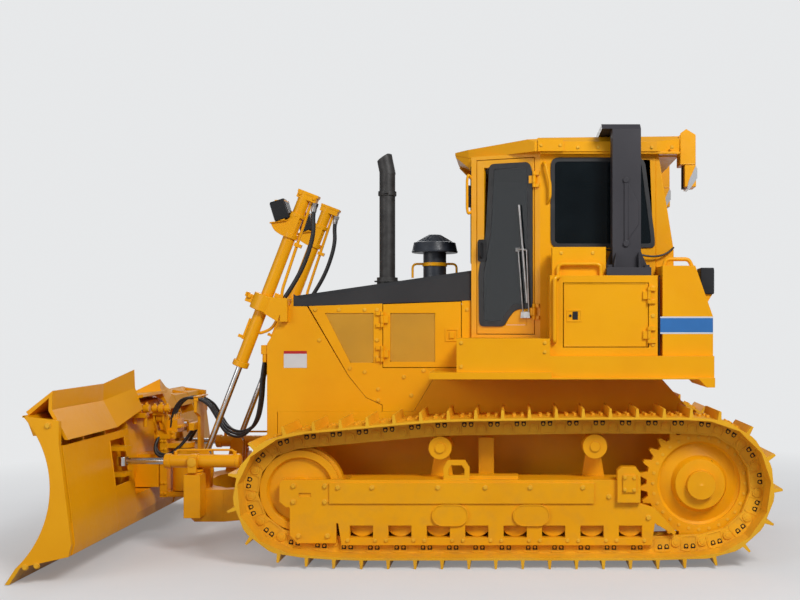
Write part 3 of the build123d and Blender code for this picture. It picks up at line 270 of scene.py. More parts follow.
finishes = {
    "body_yellow": paint("body_paint", YELLOW, YELLOW_SHADE, 0.34),
    "frame_yellow": paint("frame_paint", YELLOW, YELLOW_SHADE, 0.42, dust_and_shade=0.22, edge=0.006),
    "track_yellow": paint("track_paint", (0.9, 0.47, 0.02), (0.8, 0.37, 0.01), 0.46, dust_and_shade=0.3),
    "hood_grey": paint("hood_paint", (0.04, 0.04, 0.042), (0.03, 0.03, 0.032), 0.44),
    "rops_grey": paint(
        "rops_paint", (0.052, 0.049, 0.056), (0.04, 0.038, 0.044), 0.46, edge=0.006
    ),
    "black_metal": paint("black_paint", (0.02, 0.02, 0.022), (0.012, 0.012, 0.013), 0.48),
    "rod_chrome": plain_metal("rod_chrome", (0.62, 0.61, 0.6), (0.5, 0.49, 0.48), 0.16),
    "exhaust_metal": plain_metal(
        "exhaust_steel", (0.06, 0.058, 0.056), (0.035, 0.033, 0.032), 0.5, metallic=0.4
    ),
    "precleaner_black": rubber("precleaner_plastic", (0.018, 0.022, 0.03), 0.42, grain=90),
    "window_glass": glass("window_glass", (0.004, 0.007, 0.009), 0.86),
    "seat_black": rubber("seat_vinyl", (0.02, 0.02, 0.022), 0.55, grain=420),
    "edge_steel": paint("edge_paint", (0.88, 0.43, 0.01), (0.7, 0.32, 0.01), 0.4, dust_and_shade=0.5),
}
body_paint = finishes["body_yellow"]
frame_paint = finishes["frame_yellow"]
track_paint = finishes["track_yellow"]
hood_paint = finishes["hood_grey"]
rops_paint = finishes["rops_grey"]
black_paint = finishes["black_metal"]
glass_dark = finishes["window_glass"]
hose_cover = rubber("hose_cover", (0.01, 0.01, 0.011), 0.45, grain=300)
seal_rubber = rubber("seal_rubber", (0.01, 0.01, 0.011), 0.5)
# near-black sheets: painted shade in holes, windows and the exhaust mouth, and the dark seams
# between parts
hollow_shade_and_seams = rubber("hollow_shade_and_seams", (0.01, 0.006, 0.003), 0.9, grain=60)
bolt_paint = paint("bolt_paint", (0.9, 0.48, 0.03), (0.78, 0.37, 0.01), 0.45)
bare_steel = plain_metal("bare_steel", (0.45, 0.44, 0.43), (0.3, 0.29, 0.28), 0.34)
# the second colour is the holes' painted shade
grille_sheet = perforated("grille_sheet", PERFORATED_YELLOW, (0.16, 0.075, 0.004), 0.011, 0.62)
front_mesh = perforated(
    "front_mesh", PERFORATED_YELLOW, (0.1, 0.05, 0.004), 0.016, 0.7, axes=("Y", "Z")
)
lens = lamp_glass("lamp_lens")
blue_stripe = stripe_paint(
    "blue_stripe", (0.03, 0.165, 0.46), (0.62, 0.66, 0.7), STRIPE_LOW, STRIPE_HIGH, 0.012
)
label_white = paint("label_white", (0.72, 0.72, 0.72), (0.62, 0.62, 0.62), 0.3)
label_red = paint("label_red", (0.55, 0.03, 0.03), (0.46, 0.02, 0.02), 0.3)

# the CAD slot that a piece of each material goes in; hoses and cables have none
slot_of = {material: key for key, material in finishes.items()}
for slot_key, materials in (
    ("body_yellow", (bolt_paint, grille_sheet, front_mesh, blue_stripe, label_white, label_red)),
    ("black_metal", (hollow_shade_and_seams, seal_rubber)),
    ("rod_chrome", (bare_steel,)),
    ("window_glass", (lens,)),
):
    slot_of.update({material: slot_key for material in materials})

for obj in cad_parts.values():
    slot_name = obj.material_slots[0].material.name if obj.material_slots else ""
    material = finishes.get(slot_name.split(".")[0])
    if material:
        for slot in obj.material_slots:
            slot.material = material

# ------------------------------------------------------------------ mesh helpers


def axis_turn(direction):
    """A rotation that takes +Z to a direction."""
    return Vector(direction).normalized().to_track_quat("Z", "Y").to_matrix().to_4x4()


def add_box(bm, low, high, turn=None):
    """A box between two corners, or with a turn, about its own middle."""
    middle = (Vector(low) + Vector(high)) / 2
    size = Vector(high) - Vector(low)
    matrix = Matrix.Translation(middle) @ (turn or Matrix.Identity(4))
    scale = Matrix.Diagonal((abs(size.x), abs(size.y), abs(size.z), 1))
    bmesh.ops.create_cube(bm, size=1, matrix=matrix @ scale)


def add_block(bm, side, xs, ys, zs):
    """A box on one side of the machine from three (low, high) spans; ys count outward."""
    low, high = sorted(side * y for y in ys)
    add_box(bm, (xs[0], low, zs[0]), (xs[1], high, zs[1]))


def add_rod(bm, start, end, radius, sides=20, end_radius=None):
    """A round bar or cone from one point to another."""
    start, end = Vector(start), Vector(end)
    matrix = Matrix.Translation((start + end) / 2) @ axis_turn(end - start)
    bmesh.ops.create_cone(
        bm,
        cap_ends=True,
        segments=sides,
        radius1=radius,
        radius2=radius if end_radius is None else end_radius,
        depth=(end - start).length,
        matrix=matrix,
    )


def add_bolts(bm, places, direction, across=0.024, height=0.012, washer=True):
    """Hexagon heads, each on a washer, that stand out along a direction."""
    direction = Vector(direction).normalized()
    for place in places:
        place = Vector(place)
        if washer:
            add_rod(bm, place, place + direction * 0.003, across * 0.78, 14)
        add_rod(bm, place, place + direction * height, across * 0.577, 6)


def add_side_bolts(bm, side, y, places, across, height):
    """Bolt heads at (x, z) places on a face that looks outward, y from the middle."""
    add_bolts(bm, [(x, side * y, z) for x, z in places], (0, side, 0), across, height)


def circle(count, radius, start=0.0):
    """Evenly spaced points on a circle about the origin, as (across, up)."""
    turns = (start + 2 * pi * k / count for k in range(count))
    return [(radius * cos(turn), radius * sin(turn)) for turn in turns]


def add_tube(bm, points, radius, sides=12):
    """A round tube along smoothed points, with closed ends."""
    points = [Vector(p) for p in points]
    rings = []
    forward = (points[1] - points[0]).normalized()
    side_dir = forward.orthogonal().normalized()
    for index, point in enumerate(points):
        ahead = points[min(index + 1, len(points) - 1)]
        behind = points[max(index - 1, 0)]
        forward = (ahead - behind).normalized()
        side_dir = (side_dir - forward * side_dir.dot(forward)).normalized()
        other = forward.cross(side_dir)
        rings.append([
            bm.verts.new(point + radius * (a * side_dir + b * other)) for a, b in circle(sides, 1)
        ])
    for first, second in zip(rings, rings[1:]):
        for k in range(sides):
            bm.faces.new((first[k], first[(k + 1) % sides], second[(k + 1) % sides], second[k]))
    bm.faces.new(list(reversed(rings[0])))
    bm.faces.new(rings[-1])


def corner_arc(before, corner, after, radius, steps, most):
    """Points round a corner; the bend takes at most a share of either edge."""
    to_before, to_after = before - corner, after - corner
    reach = min(radius, to_before.length * most, to_after.length * most)
    first = corner + to_before.normalized() * reach
    last = corner + to_after.normalized() * reach
    shares = (step / steps for step in range(steps + 1))
    return [first * (1 - t) ** 2 + corner * 2 * t * (1 - t) + last * t**2 for t in shares]


def rounded(points, radius):
    """A polyline with each inner corner replaced by an arc of about that radius."""
    points = [Vector(p) for p in points]
    smooth = [points[0]]
    for before, corner, after in zip(points, points[1:], points[2:]):
        smooth += corner_arc(before, corner, after, radius, steps=6, most=0.48)
    return smooth + [points[-1]]


def add_prism(bm, outline, start, end):
    """A closed outline of 3-D points in one plane, thickened from start to end offsets."""
    low = [bm.verts.new(Vector(p) + Vector(start)) for p in outline]
    high = [bm.verts.new(Vector(p) + Vector(end)) for p in outline]
    bm.faces.new(list(reversed(low)))
    bm.faces.new(high)
    for k in range(len(outline)):
        ahead = (k + 1) % len(outline)
        bm.faces.new((low[k], low[ahead], high[ahead], high[k]))


def rectangle(x_from, x_to, z_from, z_to):
    """A rectangle's corners as (x, z) points."""
    return ((x_from, z_from), (x_to, z_from), (x_to, z_to), (x_from, z_to))


def add_plate(bm, outline, y, thickness):
    """A plate square to Y: an outline of (x, z) points at y, thickened along Y."""
    add_prism(bm, [(x, y, z) for x, z in outline], (0, 0, 0), (0, thickness, 0))


def add_frame(bm, outer, inner, start, end):
    """A ring between two closed outlines with as many points, thickened like a prism."""
    rings = []
    for outline, shift in ((outer, start), (outer, end), (inner, end), (inner, start)):
        rings.append([bm.verts.new(Vector(p) + Vector(shift)) for p in outline])
    count = len(outer)
    for first, second in zip(rings, rings[1:] + rings[:1]):
        for k in range(count):
            ahead = (k + 1) % count
            bm.faces.new((first[k], first[ahead], second[ahead], second[k]))


def add_lathe(bm, profile, centre, direction, sides=40):
    """A solid of revolution: (radius, distance along direction) pairs from a centre."""
    turn = Matrix.Translation(Vector(centre)) @ axis_turn(direction)
    rings = []
    for radius, along in profile:
        if radius < 1e-6:
            rings.append([bm.verts.new(turn @ Vector((0, 0, along)))])
            continue
        rings.append([
            bm.verts.new(turn @ Vector((a, b, along))) for a, b in circle(sides, radius)
        ])
    for first, second in zip(rings, rings[1:]):
        for k in range(sides):
            ahead = (k + 1) % sides
            corners = (
                first[k % len(first)],
                first[ahead % len(first)],
                second[ahead % len(second)],
                second[k % len(second)],
            )
            unique = list(dict.fromkeys(corners))
            if len(unique) > 2:
                bm.faces.new(unique)


def piece(name, bm, material, body="chassis", bevel=0, slot=None):
    """Turns a bmesh into an object with rounded edges that rides on a body, or on none yet."""
    bmesh.ops.recalc_face_normals(bm, faces=bm.faces)
    mesh = bpy.data.meshes.new(name)
    bm.to_mesh(mesh)
    bm.free()
    mesh.materials.append(material)
    for polygon in mesh.polygons:
        polygon.use_smooth = True
    mesh.set_sharp_from_angle(angle=radians(38))
    obj = bpy.data.objects.new(name, mesh)
    scene.collection.objects.link(obj)
    if bevel:
        modifier = obj.modifiers.new("edge", "BEVEL")
        modifier.width = bevel
        modifier.segments = 2
        modifier.limit_method = "ANGLE"
        modifier.angle_limit = radians(38)
    if body:
        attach(obj, body)
    slot = slot or slot_of.get(material)
    return obj


def round_outline(points, radius):
    """A closed outline with rounded corners."""
    points = [Vector(p) for p in points]
    smooth = []
    for before, corner, after in zip(points[-1:] + points, points, points[1:] + points[:1]):
        smooth += corner_arc(before, corner, after, radius, steps=5, most=0.45)
    return smooth


# ------------------------------------------------------------------ places read from the frame

hull_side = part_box("hood")[1][1]
service_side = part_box("rear_tank")[1][1]
track_low, track_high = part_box("track_left")
track_centre = (track_low[1] + track_high[1]) / 2
idler_low, idler_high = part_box("idlers")
idler_centre = ((idler_low[0] + idler_high[0]) / 2, (idler_low[2] + idler_high[2]) / 2)
sprocket_low, sprocket_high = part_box("sprockets")
sprocket_centre = ((sprocket_low[0] + sprocket_high[0]) / 2, 0.605)
roof_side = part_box("cab_roof")[1][1]

# ------------------------------------------------------------------ camera, light and floor


def make_camera():
    """Level with the machine's middle, square to its left side, at the photograph's distance."""
    data = bpy.data.cameras.new("camera")
    data.sensor_width = 36
    data.lens = 45.8
    data.shift_x = -0.144
    data.shift_y = 0.031
    data.clip_end = 200
    camera = bpy.data.objects.new("camera", data)
    camera.location = (-0.787, 8.82, 1.826)
    camera.rotation_euler = (radians(90), 0, radians(180))
    scene.collection.objects.link(camera)
    scene.camera = camera


BACKDROP = (0.8, 0.81, 0.82, 1)


def area_light(name, place, aim, size, power):
    data = bpy.data.lights.new(name, "AREA")
    data.shape = "RECTANGLE"
    data.size, data.size_y = size
    data.energy = power
    light = bpy.data.objects.new(name, data)
    light.location = place
    light.rotation_euler = (Vector(aim) - Vector(place)).to_track_quat("-Z", "Y").to_euler()
    scene.collection.objects.link(light)


def background(tree, colour, strength):
    node = tree.nodes.new("ShaderNodeBackground")
    node.inputs["Color"].default_value = colour
    node.inputs["Strength"].default_value = strength
    return node.outputs["Background"]


def make_light():
    """A broad key from above and behind the camera's right, a weak front fill and a pale sky."""
    area_light("key", (-5.0, 8.5, 8.5), (-0.5, 0, 1.2), (3.5, 3), 900)
    area_light("fill", (6.5, 7.0, 3.6), (0.5, 0, 1.0), (5, 4), 185)
    area_light("back", (2.0, -9.0, 6.5), (0, 0, 1.2), (7, 4), 330)
    world = bpy.data.worlds.new("studio")
    world.use_nodes = True
    tree = world.node_tree
    tree.nodes.clear()
    path = tree.nodes.new("ShaderNodeLightPath")
    seen = tree.nodes.new("ShaderNodeMath")
    seen.operation = "MAXIMUM"
    chooser = tree.nodes.new("ShaderNodeMixShader")
    output = tree.nodes.new("ShaderNodeOutputWorld")
    for source, target in (
        (path.outputs["Is Camera Ray"], seen.inputs[0]),
        (path.outputs["Is Transmission Ray"], seen.inputs[1]),
        (seen.outputs[0], chooser.inputs["Fac"]),
        (background(tree, (0.92, 0.94, 1.0, 1), 0.27), chooser.inputs[1]),
        (background(tree, BACKDROP, 1.0), chooser.inputs[2]),
        (chooser.outputs["Shader"], output.inputs["Surface"]),
    ):
        tree.links.new(source, target)
    scene.world = world


def make_floor():
    bm = bmesh.new()
    bmesh.ops.create_grid(bm, x_segments=4, y_segments=4, size=45)
    mesh = bpy.data.meshes.new("floor")
    bm.to_mesh(mesh)
    bm.free()
    floor = bpy.data.objects.new("floor", mesh)
    scene.collection.objects.link(floor)
    m = Nodes("floor_screed")
    path = m.add("ShaderNodeLightPath")
    screed = m.ramp(m.noise(0.8, 5), (0.76, 0.76, 0.765), (0.8, 0.8, 0.805), 0.3, 0.7)
    # it throws less yellow light back at the machine than its own pale colour would
    m.colour(m.mix(path.outputs["Is Camera Ray"], (0.36, 0.36, 0.365), screed))
    m.fix(Roughness=0.9, Specular_IOR_Level=0.1)
    m.bump(m.noise(35, 4), 0.04, 0.002)
    # away from the machine the floor takes the backdrop's colour, so no horizon shows
    away = m.add("ShaderNodeVectorMath", operation="LENGTH")
    m.link(m.place(), away.inputs[0])
    plain = m.add("ShaderNodeEmission")
    plain.inputs["Color"].default_value = BACKDROP
    seen = path.outputs["Is Camera Ray"]
    for ray in ("Is Glossy Ray", "Is Transmission Ray"):
        seen = m.math("MAXIMUM", seen, path.outputs[ray])
    share = m.math("MULTIPLY", m.spread(away.outputs["Value"], 0.25, 1.0, 3.0, 7.5), seen)
    blend = m.add("ShaderNodeMixShader")
    m.link(share, blend.inputs["Fac"])
    m.link(m.shader.outputs["BSDF"], blend.inputs[1])
    m.link(plain.outputs["Emission"], blend.inputs[2])
    m.link(blend.outputs["Shader"], m.tree.nodes["Material Output"].inputs["Surface"])
    mesh.materials.append(m.material)


# ------------------------------------------------------------------ track chain

# in millimetres
link_pitch = 201.2
link_count = 43
sprocket_teeth = 27
rail_tread = 50
rail_out = 92
shoe_outer = 90
idler_wheel = 309
idler_gap = 0.4
sprocket_pins = link_pitch / 2 / sin(2 * pi / sprocket_teeth)
idler_pins = hypot(idler_wheel + idler_gap + rail_tread, link_pitch / 2)
sprocket_axle = (-2202.3, 605)
idler_axle = (idler_centre[0] / MM, 555)
rear_roller, front_roller = -1664, 383
roller_count = 8
ground_overrun = 110
ground_pin_z = 155
ground_pins = (
    (rear_roller - ground_overrun, ground_pin_z),
    (front_roller + ground_overrun, ground_pin_z),
)
top_pins = ((-213, 1028), (-1397, 1044))


def touch_angle(centre, radius, point, turn):
    """Where a line from a point touches a circle, as an angle at its centre."""
    reach = hypot(point[0] - centre[0], point[1] - centre[1])
    return atan2(point[1] - centre[1], point[0] - centre[0]) + turn * acos(radius / reach)


def pin_line():
    """The closed line that the chain's pins follow: (length, straight ends or arc)."""
    sprocket, idler = sprocket_axle, idler_axle
    leave = touch_angle(sprocket, sprocket_pins, ground_pins[0], -1)
    reach_idler = touch_angle(idler, idler_pins, ground_pins[1], 1)
    leave_idler = touch_angle(idler, idler_pins, top_pins[0], -1)
    reach = touch_angle(sprocket, sprocket_pins, top_pins[1], 1)

    def rim(centre, radius, angle):
        return (centre[0] + radius * cos(angle), centre[1] + radius * sin(angle))

    spans = (
        (rim(sprocket, sprocket_pins, leave), ground_pins[0]),
        ground_pins,
        (ground_pins[1], rim(idler, idler_pins, reach_idler)),
        (idler, idler_pins, reach_idler, (leave_idler - reach_idler) % (2 * pi)),
        (rim(idler, idler_pins, leave_idler), top_pins[0]),
        top_pins,
        (top_pins[1], rim(sprocket, sprocket_pins, reach)),
        (sprocket, sprocket_pins, reach, (leave - reach) % (2 * pi)),
    )
    line = []
    for span in spans:
        if len(span) == 4:
            line.append((span[1] * span[3], span))
        else:
            (x0, z0), (x1, z1) = span
            line.append((hypot(x1 - x0, z1 - z0), span))
    return line


def point_along(line, distance):
    """The (x, z) point at a distance along the pin line."""
    for length, span in line:
        if distance <= length:
            break
        distance -= length
    if len(span) == 4:
        centre, radius, start, _ = span
        angle = start + distance / radius
        return (centre[0] + radius * cos(angle), centre[1] + radius * sin(angle))
    share = distance / length
    return tuple(a + (b - a) * share for a, b in zip(*span))


def link_frames():
    """Each link's middle, direction of travel and outward direction, in metres."""
    line = pin_line()
    total = sum(length for length, _ in line)
    distance = 0.0
    pins = [point_along(line, 0)]
    for _ in range(link_count - 1):
        # the next pin lies between these, one pitch from the last in a straight line
        low, high = distance + 0.9 * link_pitch, distance + 1.2 * link_pitch
        for _ in range(30):
            middle = (low + high) / 2
            x, z = point_along(line, middle % total)
            if hypot(x - pins[-1][0], z - pins[-1][1]) < link_pitch:
                low = middle
            else:
                high = middle
        distance = low
        pins.append(point_along(line, low % total))
    frames = []
    for here, ahead in zip(pins, pins[1:] + pins[:1]):
        travel = Vector((ahead[0] - here[0], 0, ahead[1] - here[1])).normalized()
        middle = Vector((here[0] + ahead[0], 0, here[1] + ahead[1])) / 2 * MM
        frames.append((middle, travel, Vector((travel.z, 0, -travel.x))))
    return frames


chain = link_frames()


shoe_bolt_rows = (-0.088, -0.056, 0.056, 0.088)
# (along the link, outward) outlines
window_outline = ((-0.017, 0.022), (0.017, 0.022), (0.017, 0), (0.01, -0.014), (-0.01, -0.014),
                  (-0.017, 0))
link_outline = ((-0.062, -0.046), (0.05, -0.046), (0.066, -0.02), (0.066, 0.06), (0.03, 0.072),
                (-0.045, 0.072), (-0.062, 0.055))


def track_details(side_name, side):
    """Shoe bolts, link windows of painted shade with their nuts, pin ends and the joints between
    links.
    """
    bolts, windows, links = bmesh.new(), bmesh.new(), bmesh.new()
    for middle, travel, outward in chain:
        middle = middle + Vector((0, side * track_centre, 0))
        for row in shoe_bolt_rows:
            for along in (-0.052, 0.012):
                place = middle + travel * along + outward * shoe_outer * MM
                place += Vector((0, row, 0))
                add_bolts(bolts, [place], outward, 0.026, 0.017, washer=False)
        for face in (LEFT, RIGHT):
            rail = middle + Vector((0, face * rail_out * MM, 0))
            out = Vector((0, face, 0))
            for along in (-0.03, 0.022):
                hole = rail + travel * along + outward * 0.028
                # each window is a dark sheet of painted shade in the link's opening
                outline = [hole + travel * a + outward * b for a, b in window_outline]
                add_prism(windows, outline, (0, 0, 0), out * 0.0015)
                add_bolts(bolts, [hole + out * 0.001 + outward * 0.002], out, 0.018, 0.008, False)
            pin = rail + travel * (-link_pitch / 2 * MM)
            add_rod(links, pin, pin + out * 0.01, 0.034, 22)
            add_rod(links, pin, pin + out * 0.013, 0.019, 18)
            plate = [rail + travel * a + outward * b for a, b in link_outline]
            inner = [point + (rail - point) * 0.16 for point in plate]
            add_frame(links, plate, inner, (0, 0, 0), out * 0.004)
    piece(f"shoe_bolts_{side_name}", bolts, bolt_paint, slot="track_yellow")
    piece(f"link_windows_{side_name}", windows, hollow_shade_and_seams)
    piece(f"link_pins_{side_name}", links, track_paint)


def wheel_details(side_name, side):
    """The drive disc's two holes, drawn as dark plugs of painted shade, its rim bolts, and the
    idler's hub bolts.
    """
    hub, holes = bmesh.new(), bmesh.new()
    x, z = sprocket_centre
    y = side * (track_centre + 0.055)
    for turn in (radians(118), radians(-42)):
        place = Vector((x + 0.185 * cos(turn), y, z + 0.185 * sin(turn)))
        # a dark plug of painted shade for the hole
        add_rod(holes, place, place + Vector((0, side * 0.016, 0)), 0.017, 18)
    rim = [(x + a, z + b) for a, b in circle(28, 0.355)]
    add_side_bolts(hub, side, track_centre + 0.023, rim, 0.024, 0.014)
    x, z = idler_centre
    ring = [(x + a, z + b) for a, b in circle(6, 0.075)]
    add_side_bolts(hub, side, track_centre + 0.094, ring, 0.02, 0.012)
    piece(f"hub_bolts_{side_name}", hub, bolt_paint, slot="frame_yellow")
    piece(f"disc_holes_{side_name}", holes, hollow_shade_and_seams)


# ------------------------------------------------------------------ hood and side panels


def panel_details(side_name, side):
    """Perforated grille sheets, edge bolts, the blank label and the door's latch."""
    y = side * hull_side
    out = Vector((0, side, 0))
    door = f"engine_door_{side_name}"

    def on_panel(points):
        return [Vector((x * MM, y, z * MM)) for x, z in points]

    for place, body, outline in (
        ("front", "chassis", ((764, 1921), (369, 1921), (369, 1517), (558, 1517))),
        ("door", door, rectangle(232, -133, 1921, 1525)),
    ):
        sheet = bmesh.new()
        corners = round_outline(on_panel(outline), 0.02)
        add_prism(sheet, corners, -out * 0.01, -out * 0.007)
        piece(f"grille_sheet_{side_name}_{place}", sheet, grille_sheet, body)
    bolts = bmesh.new()
    places = ((843, 1948), (650, 1948), (440, 1948), (340, 1948), (810, 1700), (340, 1700),
              (340, 1560), (560, 1470), (440, 1440), (330, 1300), (330, 1210), (120, 1400),
              (-40, 1450), (60, 1250), (-395, 1950), (-395, 1560))
    add_bolts(bolts, on_panel(places), out, 0.022, 0.009)
    piece(f"panel_bolts_{side_name}", bolts, bolt_paint)
    latch = bmesh.new()
    outer, inner = rectangle(-215, -325, 1795, 1690), rectangle(-228, -312, 1782, 1703)
    add_frame(latch, on_panel(outer), on_panel(inner), (0, 0, 0), out * 0.006)
    add_box(latch, *box_on(side, y, (-290, -250), (1715, 1770), 0.012))
    piece(f"door_latch_{side_name}", latch, body_paint, door, 0.002)
    band_end = ((1021, 2078), (1021, 1978), (895, 1978), (930, 2020))
    for name, material, outline, thickness in (
        ("label_plate", label_white, rectangle(912, 1100, 1590, 1475), 0.0012),
        ("hood_band_end", hood_paint, band_end, 0.002),
        ("label_header", label_red, rectangle(912, 1100, 1613, 1590), 0.0014),
    ):
        plate = bmesh.new()
        add_prism(plate, on_panel(outline), (0, 0, 0), out * thickness)
        piece(f"{name}_{side_name}", plate, material)


def box_on(side, y, xs, zs, depth):
    """Corners of a box that stands out from a side face by a depth; x and z in millimetres."""
    ys = sorted((y, y + side * depth))
    return ((min(xs) * MM, ys[0], min(zs) * MM), (max(xs) * MM, ys[1], max(zs) * MM))


# ------------------------------------------------------------------ cab

cab_side = 0.75
cab_front, cab_rear = -0.43, -1.9
cab_corner = Vector((-0.985, cab_side, 0))
door_turn = atan2(0.2, 0.555)  # how far the door's face turns from the cab's side


def inset(points, distance):
    """A flat closed outline of 2-D points moved inward by a distance."""
    count = len(points)
    area = sum(
        points[k][0] * points[(k + 1) % count][1] - points[(k + 1) % count][0] * points[k][1]
        for k in range(count)
    )
    turn = 1 if area > 0 else -1
    moved = []
    for k in range(count):
        before = Vector(points[k]) - Vector(points[k - 1])
        after = Vector(points[(k + 1) % count]) - Vector(points[k])
        first = turn * Vector((-before.y, before.x)).normalized()
        second = turn * Vector((-after.y, after.x)).normalized()
        moved.append(Vector(points[k]) + (first + second) * distance / (1 + first.dot(second)))
    return moved


def glazing(name, outline, place, out, body, replaced, depth=0.0, band=0.03, radius=0.06):
    """A bonded pane with its rubber surround; place turns 2-D millimetre points into 3-D ones."""
    out = Vector(out)
    flat = [Vector((a * MM, b * MM)) for a, b in outline]
    outer = round_outline([place(p.x, p.y) for p in flat], radius)
    inner = round_outline([place(p.x, p.y) for p in inset(flat, band)], max(0.012, radius - band))
    pane, seal = bmesh.new(), bmesh.new()
    add_prism(pane, inner, out * (depth + 0.001), out * (depth + 0.006))
    add_frame(seal, outer, inner, out * depth, out * (depth + 0.01))
    obj = piece(f"{name}_pane", pane, glass_dark, body)
    if replaced:
        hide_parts(*replaced)
    piece(f"{name}_seal", seal, seal_rubber, body, 0.002)


def door_place(side):
    """A function from (along the door from its hinge edge, height, outward) to a point."""
    along = Vector((cos(door_turn), -side * sin(door_turn), 0))
    out = Vector((sin(door_turn), side * cos(door_turn), 0))
    corner = Vector((cab_corner.x, side * cab_corner.y, 0))

    def place(a, z, depth=0.0):
        return corner + along * a + Vector((0, 0, z)) + out * depth

    return place, out


def cab_windows():
    """Side, front and rear panes, and the slanted frame behind the cab."""
    side_outline = ((-1068, 2436), (-1895, 2436), (-1893, 2520), (-1812, 3152), (-1068, 3152))
    backing = ((-1.78, 2.45), (-1.882, 2.45), (-1.882, 2.52), (-1.8, 3.135), (-1.855, 3.135),
               (-1.84, 2.7))
    pillar = ((-1.9, 2.28), (-2.045, 2.28), (-2.045, 2.42), (-1.925, 3.18), (-1.9, 3.18))
    for side_name, side in SIDES.items():
        def on_side(x, z, side=side):
            return Vector((x, side * cab_side, z))

        glazing(f"side_window_{side_name}", side_outline, on_side, (0, side, 0), "chassis",
                ["cab_glass"] if side == LEFT else [], 0.001, 0.034, 0.07)
        backing_bm, pillar_bm = bmesh.new(), bmesh.new()
        # a dark strip of painted shade behind the pane's rear edge
        add_plate(backing_bm, backing, side * cab_side, side * 0.0012)
        piece(f"side_window_backing_{side_name}", backing_bm, hollow_shade_and_seams)
        add_plate(pillar_bm, pillar, side * (cab_side - 0.06), side * 0.056)
        piece(f"rear_pillar_{side_name}", pillar_bm, body_paint, bevel=0.006)
    rear = bmesh.new()
    add_box(rear, (-2.04, -0.7, 2.28), (-1.905, 0.7, 2.345))
    add_box(rear, (-1.935, -0.7, 3.12), (-1.902, 0.7, 3.18))
    piece("rear_window_frame", rear, body_paint, bevel=0.006)
    for name, x, outline in (
        ("front_window", cab_front, rectangle(-480, 480, 2330, 3130)),
        ("rear_window", cab_rear, rectangle(-560, 560, 2350, 3130)),
    ):
        out = (1 if x == cab_front else -1, 0, 0)
        glazing(name, outline, lambda y, z, x=x: Vector((x, y, z)), out, "chassis", [],
                0.0, 0.03, 0.05)


def door_details(side_name, side):
    """The door's bonded pane, its stepped lower corner, handle and wiper."""
    place, out = door_place(side)
    door = f"cab_door_{side_name}"

    def on_door(*points):
        return [place(*point) for point in points]

    outline = ((430, 3122), (90, 3122), (62, 3040), (60, 1958), (206, 1948), (262, 1885),
               (302, 1812), (518, 1812), (524, 2250), (462, 2560))
    glazing(f"cab_door_{side_name}", outline, place, out, door, [f"door_glass_{side_name}"],
            0.001, 0.044, 0.045)
    plate, handle, wiper = bmesh.new(), bmesh.new(), bmesh.new()
    corners = on_door((0.112, 1.826), (0.3, 1.826), (0.262, 1.885), (0.206, 1.948), (0.112, 1.955))
    add_prism(plate, corners, out * -0.03, out * 0.0008)
    piece(f"door_corner_{side_name}", plate, body_paint, door)
    low, high = 2.336, 2.515
    escutcheon = round_outline(on_door(*rectangle(0.455, 0.528, low, high)), 0.02)
    add_prism(handle, escutcheon, out * 0.001, out * 0.016)
    grip = on_door((0.495, low + 0.03, 0.014), (0.5, low + 0.04, 0.045),
                   (0.5, high - 0.04, 0.045), (0.495, high - 0.03, 0.014))
    add_tube(handle, rounded(grip, 0.02), 0.008)
    piece(f"door_handle_{side_name}", handle, black_paint, door, 0.002)
    motor = on_door((0.075, 1.88), (0.155, 1.88), (0.15, 1.93), (0.08, 1.93))
    add_prism(wiper, motor, out * 0.001, out * 0.03)
    for start, end, radius in (
        ((0.085, 1.925), (0.105, 2.42), 0.006),
        ((0.135, 1.925), (0.175, 2.42), 0.006),
        ((0.105, 2.42), (0.18, 2.43), 0.008),
        ((0.1, 2.0), (0.168, 2.78), 0.01),
    ):
        add_rod(wiper, place(*start, 0.026), place(*end, 0.026), radius, 10)
    add_box(wiper, place(0.165, 2.41, 0.012), place(0.195, 2.44, 0.034))
    piece(f"door_wiper_{side_name}", wiper, bare_steel, door, slot="black_metal")


def cab_rails(side_name, side):
    """Grab loop on the front pillar, grab bar behind the door, the visor's skirt and a mirror."""
    loops, skirt, mirror = bmesh.new(), bmesh.new(), bmesh.new()
    pillar_y, loop_y = side * 0.535, side * 0.56
    loop = [(-0.432, pillar_y, 3.02), (-0.405, loop_y, 3.048), (-0.396, loop_y, 3.0),
            (-0.396, loop_y, 2.77), (-0.405, loop_y, 2.723), (-0.432, pillar_y, 2.75)]
    add_tube(loops, rounded(loop, 0.03), 0.011)
    wall_y, bar_y = side * cab_side, side * (cab_side + 0.045)
    bar = [(-1.01, wall_y, 3.11), (-1.022, bar_y, 3.1), (-1.062, bar_y, 2.94),
           (-1.062, bar_y, 2.83), (-1.04, wall_y, 2.79)]
    add_tube(loops, rounded(bar, 0.03), 0.012)
    piece(f"grab_loops_{side_name}", loops, body_paint)
    # (x, y, lower edge, upper edge) where the visor's skirt bends
    bends = ((-0.288, 0.3, 3.225, 3.25), (-0.402, 0.42, 3.12, 3.2), (-0.436, 0.446, 3.065, 3.19))
    for (x0, y0, low0, high0), (x1, y1, low1, high1) in zip(bends, bends[1:]):
        corners = [Vector((x0, side * y0, low0)), Vector((x1, side * y1, low1)),
                   Vector((x1, side * y1, high1)), Vector((x0, side * y0, high0))]
        add_prism(skirt, corners, (0, 0, 0), (-0.012, -side * 0.01, 0))
    piece(f"visor_skirt_{side_name}", skirt, body_paint, bevel=0.001)
    near, far = (-0.425, side * 0.545), (-0.47, side * 0.5)
    corners = [(*near, 2.78), (*far, 2.78), (*far, 2.96), (*near, 2.96)]
    add_prism(mirror, round_outline(corners, 0.015), (0.01, 0, 0), (0.03, side * 0.012, 0))
    piece(f"mirror_{side_name}", mirror, black_paint, bevel=0.002)


